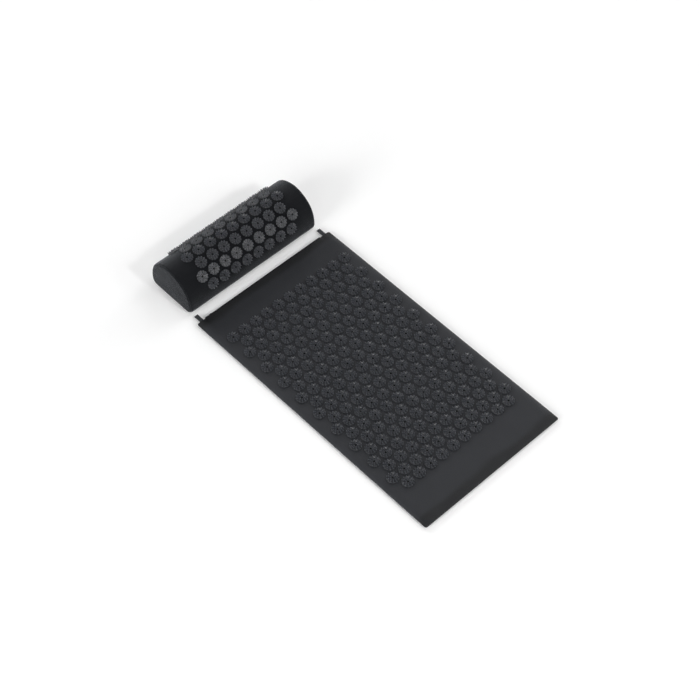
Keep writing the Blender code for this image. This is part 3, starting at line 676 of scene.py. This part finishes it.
def mat_discs():
    for row in range(1, MAT_DISC_ROWS + 1):
        low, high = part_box(f"mat_disc_row_{row:02d}")
        place = Matrix.Translation(((low.x + high.x) / 2, (low.y + high.y) / 2, low.z))
        disc_row("mat", f"{row:02d}", place)


# Mat


def fine_line(half, fine):
    """Grid lines from -half to half, close together at both ends."""
    near = []
    step, place = FINEST_STEP, 0.0
    while place < fine:
        near.append(place)
        place += step
        step = min(step * STEP_GROWTH, COARSEST_STEP)
    count = max(2, round((2 * half - 2 * place) / COARSEST_STEP))
    middle = np.linspace(-half + place, half - place, count)
    near = np.array(near) - half
    return np.concatenate([near, middle, -near[::-1]])


def round_corners(x, y):
    """Moves grid points so that the mat's corners are round."""
    u = np.clip(1 - (MAT_HALF_X - np.abs(x)) / MAT_CORNER, 0, 1)
    v = np.clip(1 - (MAT_HALF_Y - np.abs(y)) / MAT_CORNER, 0, 1)
    new_u, new_v = u * np.sqrt(1 - v * v / 2), v * np.sqrt(1 - u * u / 2)
    return x + np.sign(x) * (new_u - u) * MAT_CORNER, y + np.sign(y) * (new_v - v) * MAT_CORNER


def shoulder(distance, width):
    return 1 - (1 - np.clip(distance / width, 0, 1)) ** 2


def seam_lip(x, far, width):
    """How far the mat's seam stands open at the pillow's end, for the zip and the loops."""
    zip_share = ease(1 - (np.abs(x) - ZIP_HALF_LENGTH + ZIP_LIP_CLOSING) / ZIP_TAPER)
    from_loop = np.abs(np.abs(x) - (MAT_HALF_X - LOOP_FROM_SIDE))
    loop_share = ease(1 - (from_loop - LOOP_LIP_HALF) / LOOP_LIP_TAPER)
    return np.maximum(ZIP_HALF_BAND * zip_share, LOOP_LIP * loop_share) * (1 - shoulder(far, width))


def mat_surface(direction):
    """The mat's cover, on top for 1 and underneath for -1: points, cloth places and a mask of painted shade
    over its end shoulders.
    """
    x, y = np.meshgrid(fine_line(MAT_HALF_X, SIDE_FINE), fine_line(MAT_HALF_Y, END_FINE))
    side, near, far = MAT_HALF_X - np.abs(x), y + MAT_HALF_Y, MAT_HALF_Y - y
    edge = np.minimum(np.minimum(side, near), far)
    side_width = end_width = UNDER_SHOULDER
    pucker = soft = 0
    if direction > 0:
        wander = 1 + uneven(x, y, SHOULDER_WANDER)
        side_width, end_width = SIDE_SHOULDER * wander, END_SHOULDER * wander
        pucker = uneven(x, y, MAT_PUCKER, direction)
        pucker = pucker * np.exp(-edge / MAT_PUCKER_FADE) * ease(edge / PUCKER_START)
        soft = uneven(x, y, MAT_SLACK, direction) * ease(edge / SLACK_START)
    share = shoulder(side, side_width) * shoulder(near, end_width) * shoulder(far, end_width)
    roll = CLOTH * np.sqrt(1 - (1 - np.clip(edge / CLOTH, 0, 1)) ** 2)
    rise = (MAT_RISE - HALF_SEAM_GAP - CLOTH) * share
    height = HALF_SEAM_GAP + roll + seam_lip(x, far, end_width) + rise
    z = MAT_SEAM_HEIGHT + direction * np.minimum(height + pucker + soft, MAT_RISE)
    cloth = stacked(x, y, 0)
    # Mask of painted shade over the end shoulders, kept as the edge attribute to darken the cloth
    end_shade = ease((END_SHADE_SHARE - np.minimum(near, far) / end_width) / END_SHADE_FADE_SHARE)
    x, y = round_corners(x, y)
    return stacked(x, y + MAT_MIDDLE_Y, z), cloth, end_shade


def mat_covers():
    for word, direction in (("top", 1), ("base", -1)):
        name = f"mat_{word}_cover"
        points, cloth, end_shade = mat_surface(direction)
        faces = flipped(grid_faces(*points.shape[:2]), direction < 0)
        mesh = mesh_of(name, points, faces, cloth)
        # Keeps the mask of painted shade for the cover's colour
        store(mesh, "edge", end_shade)
        cover = piece(name, mesh, COVER, "mat", (f"mat_{word}_panel",))
        thicken(cover, 0.8 * CLOTH)


def mat_foam():
    """The slab inside, with rounded corners and its edges shaped like the cover's."""
    rings = [(UNDER_SHOULDER + 0.6 * MM, -FOAM_LOWEST)]
    for inset in np.linspace(15, 6, 8) * MM:
        rings.append((inset, -FOAM_FALL * shoulder(inset, UNDER_SHOULDER) ** 2))
    for inset in np.linspace(6, 28, 14) * MM:
        rings.append((inset, FOAM_RISE * shoulder(inset, SIDE_SHOULDER) * shoulder(inset, END_SHOULDER)))
    turn = np.linspace(0, math.pi / 2, 7)
    sections = []
    for inset, height in rings:
        points = []
        for quarter, (side, end) in enumerate(((1, 1), (-1, 1), (-1, -1), (1, -1))):
            angle = turn + quarter * math.pi / 2
            x = side * (MAT_HALF_X - inset - FOAM_CORNER) + FOAM_CORNER * np.cos(angle)
            y = end * (MAT_HALF_Y - inset - FOAM_CORNER) + FOAM_CORNER * np.sin(angle)
            points.append(stacked(x, y + MAT_MIDDLE_Y, MAT_SEAM_HEIGHT + height))
        sections.append(np.concatenate(points))
    mesh = mesh_of("mat_foam", *swept(sections), sharp=40)
    piece("mat_foam", mesh, FOAM, "mat", ("mat_foam_core",))


def loop_shape():
    """Ribbed webbing from the seam, round its fold and back: points, faces and cloth coordinates."""
    fold_end = LOOP_LENGTH - WEBBING_THICKNESS / 2 - LAYER_FAR
    out = np.concatenate([np.linspace(-LOOP_INSIDE, 6 * MM, 14), np.linspace(7 * MM, fold_end, 14)])
    height = LAYER_NEAR + (LAYER_FAR - LAYER_NEAR) * ease((out - OPENS_FROM) / OPENS_OVER)
    turn = np.linspace(math.pi / 2, -math.pi / 2, 11)[1:-1]
    upper = stacked(out, height)
    fold = stacked(fold_end + LAYER_FAR * np.cos(turn), LAYER_FAR * np.sin(turn))
    path = np.concatenate([upper, fold, (upper * [1, -1])[::-1]])
    along = unit(np.gradient(path, axis=0))
    normal = stacked(-along[:, 1], along[:, 0])
    across = np.sin(np.linspace(-math.pi / 2, math.pi / 2, 43)) * LOOP_WIDTH / 2
    ribs = 1 - RIB_DEPTH_SHARE * np.abs(np.sin(across / LOOP_WIDTH * math.pi * LOOP_RIBS)) ** 3
    edge = np.sqrt(np.clip(1 - (np.abs(across) / (LOOP_WIDTH / 2)) ** 10, 0.03, 1))
    thick = WEBBING_THICKNESS / 2 * ribs * edge
    around_x = np.concatenate([across, across[::-1]])
    around_t = np.concatenate([thick, -thick[::-1]])
    yz = path[:, None] + normal[:, None] * around_t[:, None]
    cloth = stacked(around_x, run_length(path)[:, None], 0)
    points, faces = swept(stacked(around_x, yz[..., 0], yz[..., 1]))
    return points, flipped(faces), cloth


def stitch(x, y, face):
    """A raised capsule of thread across a loop, on top for face 1 and underneath for -1."""
    angles = circle(6)
    sections = []
    for t in np.linspace(-1, 1, 7):
        size = STITCH_RADIUS * math.sqrt(max(1 - t**4, 0.02))
        height = LAYER_NEAR + WEBBING_THICKNESS / 2 + STITCH_RADIUS * (0.25 - 0.6 * t * t)
        ring_y, ring_z = size * np.cos(angles), 0.8 * size * np.sin(angles)
        sections.append(stacked(x + STITCH_LENGTH / 2 * t, y + face * ring_y, face * (height + ring_z)))
    return swept(sections)


def loop_stitches():
    """Rows of stitches across both faces of a loop."""
    shift = (STITCHES_ACROSS - 1) / 2
    places = [(k - shift) * STITCH_PITCH for k in range(STITCHES_ACROSS)]
    return joined([stitch(x, y, face) for face in (1, -1) for y in STITCH_ROWS for x in places])


def mat_loops():
    """Two loops of webbing that stay where they are, and their stitching, which rides on each loop's body."""
    points, faces, cloth = loop_shape()
    stitch_points, stitch_faces = loop_stitches()
    for name, body in (("mat_loop_left", "left_loop"), ("mat_loop_right", "right_loop")):
        low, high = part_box(name)
        root = np.array([(low.x + high.x) / 2, low.y, MAT_SEAM_HEIGHT])
        mesh = mesh_of(f"{name}_webbing", points + root, faces, cloth, sharp=70)
        loop = piece(f"{name}_webbing", mesh, WEBBING, None, (name,))
        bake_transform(loop)
        thread = mesh_of(f"{name}_stitching", stitch_points + root, stitch_faces)
        piece(f"{name}_stitching", thread, THREAD, body)


# Zips


def coil(half_length, side):
    """One half of a closed nylon coil, as points and faces."""
    steps = 10
    turns = round(2 * half_length / COIL_PITCH) - 1
    turn = np.arange(turns * steps + 1) / steps
    angle = 2 * math.pi * turn
    x = -half_length + (turn + 0.5 + side * 0.25) * COIL_PITCH
    y = (CHAIN_FRONT + CHAIN_BACK) / 2 + ((CHAIN_FRONT - CHAIN_BACK) / 2 - COIL_RADIUS) * np.sin(angle)
    z = side * (COIL_REACH - COIL_REACH * np.cos(angle))
    return tube(stacked(x, y, z), COIL_RADIUS, 5)


def zip_tape(half_length, outer, side):
    """A woven tape behind the coil, thicker along its inner edge: points, faces and cloth coordinates."""
    half_length += ZIP_PAST_LIPS
    x = np.linspace(-half_length, half_length, 170)
    profile = []
    for edge, places in ((TAPE_INNER, TAPE_FACE), (outer, TAPE_OUTER_EDGE), (TAPE_INNER, TAPE_BACK)):
        profile += [(edge + z * MM, y * MM) for z, y in places]
    z, y = np.array(profile).T
    closing = (np.abs(x) - half_length + ZIP_PAST_LIPS + 3 * MM) / (ZIP_PAST_LIPS + 1 * MM)
    narrow = 1 - TAPE_NARROWS_SHARE * ease(closing)
    width = np.where(z > TAPE_INNER + TAPE_NARROWS_FROM, narrow[:, None], 1)
    ripple = np.minimum(uneven(x, 0 * x, TAPE_RIPPLE, side), 0)
    height = y + np.where(z > TAPE_INNER + TAPE_CORD, ripple[:, None], 0)
    across = side * (TAPE_INNER + (z - TAPE_INNER) * width)
    points, faces = swept(stacked(x[:, None], height, across))
    return points, flipped(faces, side > 0), stacked(points[:, 0], points[:, 2], 0)


def slider_shape():
    """The slider's channel, wider at its mouth, with a rounded bridge over it."""
    sections = []
    for place, drop, wide in SLIDER_SECTIONS:
        outer, front = SLIDER_HALF_WIDTH * wide, SLIDER_FRONT - drop * MM
        back = CHAIN_BACK + 0.05 * MM + drop * MM / 4
        profile = [(CHANNEL_HALF_WIDTH, CHANNEL_FRONT), (CHANNEL_HALF_WIDTH, back), (outer, back)]
        profile += [(outer - inward * MM, front - down * MM) for inward, down in SLIDER_EDGE]
        profile += [(-z, y) for z, y in profile[::-1]]
        sections.append([(place * SLIDER_HALF_LENGTH, y, z) for z, y in profile])
    turn = np.linspace(0, math.pi, 25)
    base = SLIDER_FRONT - BRIDGE_SINK
    x = BRIDGE_HALF_SPAN * np.sign(np.cos(turn)) * np.abs(np.cos(turn)) ** BRIDGE_POWER
    y = base + (BRIDGE_FRONT - BRIDGE_HALF - base) * np.sin(turn) ** BRIDGE_POWER
    path = stacked(x, y)
    along = unit(np.gradient(path, axis=0))
    normal = stacked(along[:, 1], -along[:, 0])
    outline = [*BRIDGE_SECTION, *[(t, -w) for t, w in BRIDGE_SECTION[::-1]]]
    arch = [[(*(point + out * t * MM), w * MM) for t, w in outline] for point, out in zip(path, normal)]
    return fused(swept(sections), swept(arch))


def puller_shape():
    """A flat tab, waisted behind its eye, with grip ribs near its tip."""
    half, bar = PULLER_WIDTH / 2, PULLER_THICKNESS / 2
    tip = bar - PULLER_LENGTH
    upper = [(bar, half)] + [(x * MM, half * share) for x, share in PULLER_WAIST]
    for angle in np.linspace(0, math.pi / 2, 6):
        x = tip + PULLER_CORNER * (1 - math.sin(angle))
        upper.append((x, half - PULLER_CORNER * (1 - math.cos(angle))))
    edge = upper + [(x, -z) for x, z in upper[::-1]]
    far = [(x * MM, z * MM) for x, z in PULLER_EYE]
    eye = [(-bar, far[-1][1]), (-bar, far[0][1]), *far]
    ribs = []
    across, radii = np.array(GRIP_ACROSS) * MM, GRIP_RADIUS * np.array(GRIP_SHARES)
    for k in range(GRIP_RIBS):
        x = tip + (GRIP_FROM_TIP + GRIP_PITCH * k) * MM
        ribs.append(tube(stacked(x, across, 0), radii, 12))
    points, faces = fused(flat_shape([edge, eye], PULLER_THICKNESS, PULLER_EDGE), joined(ribs))
    return points[:, [0, 2, 1]], flipped(faces)


def zip_fastener(prefix, origin, half_length, tape_outer):
    """Tapes, coils, slider and puller in front of an origin on the tape's face."""
    origin = np.array(origin)
    for side, word in ((-1, "lower"), (1, "upper")):
        name = f"{prefix}_{word}_tape"
        points, faces, cloth = zip_tape(half_length, tape_outer, side)
        mesh = mesh_of(name, points + origin, faces, cloth, sharp=40)
        piece(name, mesh, TAPE, prefix, (f"{prefix}_zip_{word}_tape",))
    name = f"{prefix}_coil"
    points, faces = joined([coil(half_length, side) for side in (-1, 1)])
    piece(name, mesh_of(name, points + origin, faces), COIL, prefix, (f"{prefix}_zip_chain",))
    place = origin + [SLIDER_FROM_ZIP_END - half_length, 0, 0]
    shapes = (("slider", slider_shape(), 0), ("puller", puller_shape(), PULLER_AXIS))
    for word, (points, faces), lift in shapes:
        name = f"{prefix}_{word}"
        mesh = mesh_of(name, points + place + [0, lift, 0], faces, sharp=35)
        piece(name, mesh, METAL, name, (f"{prefix}_zip_{word}",))


mat_covers()
mat_foam()
mat_discs()
mat_loops()
zip_fastener("mat", (0, MAT_HIGH.y - ZIP_RECESS, MAT_SEAM_HEIGHT), ZIP_HALF_LENGTH, MAT_TAPE_OUTER)


# Pillow


class Section:
    """The pillow's half-round section in y and z, by length along it from the front foot."""

    def __init__(self, steps=240):
        half, rise = PILLOW_DEPTH / 2, PILLOW_HEIGHT - PILLOW_FOOT
        angle = np.linspace(0, math.pi / 2, steps + 1)
        foot = stacked(-half + PILLOW_FOOT * (1 - np.sin(angle)), PILLOW_FOOT * (1 - np.cos(angle)))
        side_y = -half * np.cos(angle) ** (2 / PILLOW_SIDE_POWER)
        side_z = PILLOW_FOOT + rise * np.sin(angle) ** (2 / PILLOW_CROWN_POWER)
        front = np.concatenate([foot[:-1], stacked(side_y, side_z)])
        self.points = np.concatenate([front, (front[:-1] * [-1, 1])[::-1]])
        self.lengths = run_length(self.points)
        self.whole = self.lengths[-1]
        self.foot = self.lengths[steps]

    def at(self, length, inset=0.0):
        """Points at these lengths, moved inwards, and their outward normals."""
        length = np.asarray(length, float)
        step = 1.0 * MM
        here, before, after = (
            stacked(*(np.interp(s, self.lengths, self.points[:, k]) for k in (0, 1)))
            for s in (length, np.maximum(length - step, 0), np.minimum(length + step, self.whole))
        )
        tangent = unit(after - before)
        normal = stacked(-tangent[..., 1], tangent[..., 0])
        return here - normal * np.asarray(inset)[..., None], normal

    def back_at(self, height):
        """Length at which the back comes down to this height."""
        back = self.lengths > self.whole / 2
        return float(np.interp(-height, -self.points[back, 1], self.lengths[back]))


SECTION = Section()


def pillow_discs():
    """Rows over the crown, evenly spaced, with the middle one on the ridge."""
    middle_row = (PILLOW_DISC_ROWS + 1) // 2
    spacing = (SECTION.whole / 2 - SECTION.foot - PILLOW_ROW_TO_FOOT) / (middle_row - 1)
    for row in range(1, PILLOW_DISC_ROWS + 1):
        point, normal = SECTION.at(SECTION.whole / 2 + (row - middle_row) * spacing)
        tilt = math.atan2(-normal[0], normal[1])
        seat = PILLOW_PLACE + Vector((0, *(point + normal * DISC_LIFT)))
        place = Matrix.Translation(seat) @ Matrix.Rotation(tilt, 4, "X")
        disc_row("pillow", row, place, PILLOW_DISC_TURN)


def end_ring(angle, depth=0.0):
    """Distance in from the pillow's end, and inset, at an angle of its rounded edge, this deep in it."""
    radius = PILLOW_END_RADIUS - depth
    return depth + radius * (1 - math.cos(angle)), depth + radius * (1 - math.sin(angle))


def edge_rings(side):
    """Rings from deep in the seam out on to the rounded edge: the long panels' for 1, an end's for -1."""
    rings = [end_ring(math.pi / 4 + side * math.radians(degrees), depth * MM) for degrees, depth in SEAM_ROLL]
    first, last = math.radians(45 + side * ROLL_DEGREES), math.pi / 2 if side > 0 else 0
    return rings + [end_ring(angle) for angle in np.linspace(first, last, 5)]


def curl_lip(lengths, side):
    """Lengths and insets with the cloth curled in at a zip lip: the last length for 1, the first for -1."""
    lengths = lengths[::side]
    lip = lengths[-1] - side * np.array(LIP_BACK) * MM
    insets = np.concatenate([np.zeros(len(lengths) - 1), np.array(LIP_INWARD) * MM])
    return np.concatenate([lengths[:-1], lip])[::side], insets[::side]


def pillow_panel(name, points, faces, cloth, material):
    mesh = mesh_of(f"pillow_{name}", points + np.array(PILLOW_PLACE), faces, cloth)
    node = f"pillow_{name.removesuffix('_cover')}_panel"
    cover = piece(f"pillow_{name}", mesh, material, "pillow", (node,))
    thicken(cover, PILLOW_CLOTH)


def pillow_long(name, lengths, lip_insets, flat_to=None):
    """A cover panel that runs the pillow's length, through these lengths of the section.

    With flat_to it goes on along the floor from its last length to this y.
    """
    distance, inset = (np.array(values) for values in zip(*edge_rings(1)))
    half = PILLOW_LENGTH / 2
    middle = fine_line(half - PILLOW_END_RADIUS, PILLOW_FINE)[1:-1]
    across = np.concatenate([distance - half, middle, (half - distance)[::-1]])
    insets = np.concatenate([inset, 0 * middle, inset[::-1]])
    s, x = np.meshgrid(lengths, across)
    closed = ease((np.abs(x) - PILLOW_ZIP_HALF + PILLOW_LIP_CLOSING) / ZIP_TAPER)
    closed = closed * (ZIP_HALF_BAND - PILLOW_LIP_GAP)
    if flat_to is None:
        s = s + closed * ease((s - lengths[-1] + TOP_FOLLOWS) / (TOP_FOLLOWS - 1 * MM))
    else:
        s = s - closed * ease((lengths[0] + BASE_FOLLOWS - s) / (BASE_FOLLOWS - 1 * MM))
    from_end = half - np.abs(x)
    pucker = uneven(s, 0 * x, PILLOW_PUCKER) * np.exp(-from_end / PILLOW_PUCKER_FADE)
    pucker = pucker * ease((from_end - PUCKER_START) / (3 * MM))
    out = pucker + uneven(s, x, PILLOW_SLACK)
    out = out * ease(s / SLACK_START) * ease((SECTION.whole - s) / SLACK_START)
    yz, _ = SECTION.at(s, insets[:, None] - out + lip_insets)
    points = stacked(x, yz[..., 0], np.maximum(yz[..., 1], 0))
    cloth = stacked(x, s, 0)
    if flat_to is not None:
        last = points[:, -1].copy()
        run = np.linspace(0, 1, 24)[1:, None, None]
        ahead = last + run * (np.array([0, flat_to, 0]) - last * [0, 1, 0])
        points = np.concatenate([points, ahead.transpose(1, 0, 2)], 1)
        further = s[:, -1:] + run[:, 0].T * PILLOW_DEPTH
        cloth = stacked(points[..., 0], np.concatenate([s, further], 1), 0)
    pillow_panel(name, points, flipped(grid_faces(*points.shape[:2])), cloth, PILLOW_COVER)


def pillow_end(name, side):
    """A half-round end panel, slightly domed, with the near half of the rounded edge."""
    lengths = np.linspace(0, SECTION.whole, 180)
    rings = []
    for distance, inset in edge_rings(-1):
        yz, _ = SECTION.at(lengths, 0 * lengths + inset)
        rings.append((distance, yz, 0.0))
    edge, _ = SECTION.at(lengths, 0 * lengths + PILLOW_END_RADIUS)
    centre = np.array([0, END_MIDDLE_SHARE * PILLOW_HEIGHT])
    for share in np.linspace(0, 1, 22)[1:]:
        rings.append((0.0, centre + (edge - centre) * (1 - share * END_REACH_SHARE), share))
    points = []
    for distance, yz, share in rings:
        dome = END_DOME * (1 - (1 - share) ** 2)
        near_edge = math.exp(-share * 7) * ease((PILLOW_END_RADIUS * 0.3 - distance) / (2 * MM))
        wrinkle = uneven(lengths, 0 * lengths, END_WRINKLE, side) * near_edge
        slack = uneven(yz[:, 0], yz[:, 1], END_SLACK, side) * ease(share * 3)
        x = side * (PILLOW_LENGTH / 2 - distance + dome + wrinkle + slack)
        points.append(stacked(x, yz[:, 0], np.maximum(yz[:, 1], 0)))
    points = np.array(points)
    faces = swept(points)[1]
    # Open at the seam, where the sweep has its first end
    del faces[-2]
    cloth = stacked(points[..., 1], points[..., 2], 0)
    pillow_panel(name, points, flipped(faces, side > 0), cloth, PILLOW_END)


def pillow_foam():
    """The half-round block inside, with a channel behind the zip."""
    turns = [end_ring(angle, FOAM_GAP) for angle in np.linspace(0, math.pi / 2, 7)]
    half = PILLOW_LENGTH / 2
    places = [(distance - half, inset) for distance, inset in turns]
    places += [(half - distance, inset) for distance, inset in turns[::-1]]
    channel = PILLOW_DEPTH / 2 - ZIP_CHANNEL_DEPTH
    sections = []
    for x, inset in places:
        yz, _ = SECTION.at(np.linspace(0, SECTION.whole, 140), inset)
        y, z = yz[:, 0], yz[:, 1]
        behind_zip = np.abs(z - PILLOW_ZIP_HEIGHT) < ZIP_CHANNEL_HALF
        y = np.where(behind_zip, np.minimum(y, channel), y)
        sections.append(stacked(x, y, z))
    points, faces = swept(sections)
    mesh = mesh_of("pillow_foam", points + np.array(PILLOW_PLACE), flipped(faces), sharp=40)
    piece("pillow_foam", mesh, FOAM, "pillow", ("pillow_foam_core",))


def pillow_covers():
    back_top = SECTION.back_at(PILLOW_ZIP_HEIGHT + ZIP_HALF_BAND)
    back_low = SECTION.back_at(PILLOW_ZIP_HEIGHT - ZIP_HALF_BAND)
    pillow_long("top_cover", *curl_lip(np.linspace(0, back_top, 150), 1))
    front = -PILLOW_DEPTH / 2 + PILLOW_FOOT + 0.3 * MM
    pillow_long("base_cover", *curl_lip(np.linspace(back_low, SECTION.whole, 20), -1), front)
    pillow_end("left_end", -1)
    pillow_end("right_end", 1)


pillow_covers()
pillow_foam()
pillow_discs()
pillow_zip = PILLOW_PLACE + Vector((0, PILLOW_DEPTH / 2 - ZIP_RECESS, PILLOW_ZIP_HEIGHT))
zip_fastener("pillow", pillow_zip, PILLOW_ZIP_HALF, PILLOW_TAPE_OUTER)


# Floor, lights and camera


def whiten(tree, shader):
    """Light from the floor that only the camera, mirrors and glass see, stronger far from the set."""
    path = add_node(tree, "ShaderNodeLightPath")
    seen = calc(tree, "ADD", path.outputs["Is Camera Ray"], path.outputs["Is Glossy Ray"])
    seen = calc(tree, "ADD", seen, path.outputs["Is Transmission Ray"])
    place = add_node(tree, "ShaderNodeTexCoord").outputs["Object"]
    away = add_node(tree, "ShaderNodeVectorMath", {0: place}, operation="LENGTH").outputs["Value"]
    distances, levels = (WHITE_FROM, WHITE_TO), (NEAR_WHITE, FAR_WHITE)
    white = map_range(tree, away, distances, levels, interpolation_type="SMOOTHSTEP")
    strength = calc(tree, "MULTIPLY", seen, white)
    feed(tree, shader, {"Emission Strength": strength, "Emission Color": (1, 1, 1, 1)})


def stage_floor():
    """A round pale floor that curves up into a backdrop far away."""
    profile = [(radius, 0) for radius in FLOOR_RINGS]
    for angle in np.linspace(0, math.pi / 2, 12):
        radius = RIM_RADIUS - RIM_CURVE * (1 - math.sin(angle))
        profile.append((radius, RIM_CURVE * (1 - math.cos(angle))))
    profile.append((RIM_RADIUS, RIM_HEIGHT))
    turn = circle(FLOOR_SEGMENTS)
    points = np.array([stacked(r * np.cos(turn), r * np.sin(turn), z) for r, z in profile])
    faces = flipped(grid_faces(len(profile), FLOOR_SEGMENTS, wrap=True))
    faces.append(list(range(FLOOR_SEGMENTS)))
    mesh = mesh_of("floor", points, faces)
    floor = add_object("floor", mesh)
    floor.location.z = -FLOOR_DROP
    material, tree, shader = new_material("floor", (FLOOR_SHADE,) * 3, 0.9, specular=0.1)
    whiten(tree, shader)
    mesh.materials.append(material)


def softbox(word, direction, size, share):
    """A square area lamp that gives this share of a plain white level on a surface turned to it."""
    name = f"{word}_light"
    data = bpy.data.lights.new(name, "AREA")
    data.shape, data.size, data.energy = "SQUARE", size, share * math.pi**2 * LAMP_DISTANCE**2
    lamp = add_object(name, data)
    away = Vector(direction).normalized()
    lamp.location = Vector(LAMP_AIM) + away * LAMP_DISTANCE
    lamp.rotation_mode = "QUATERNION"
    lamp.rotation_quaternion = (-away).to_track_quat("-Z", "Y")
    lamp.visible_camera = False


def light():
    for lamp in LAMPS:
        softbox(*lamp)
    world = bpy.data.worlds.new("studio")
    scene.world = world
    world.use_nodes = True
    background = world.node_tree.nodes["Background"]
    feed(world.node_tree, background, {"Color": (1, 1, 1, 1), "Strength": WORLD_SHARE})


def photo_camera():
    data = bpy.data.cameras.new("camera")
    data.lens, data.sensor_width, data.sensor_fit = CAMERA_LENS, SENSOR_WIDTH, "AUTO"
    data.clip_start, data.clip_end = CLIP_START, CLIP_END
    camera = add_object("camera", data)
    camera.location = CAMERA_PLACE
    camera.rotation_mode = "QUATERNION"
    camera.rotation_quaternion = Vector(CAMERA_AIM).to_track_quat("-Z", "Y")
    scene.camera = camera


stage_floor()
light()
photo_camera()
scene.view_settings.view_transform = "Standard"
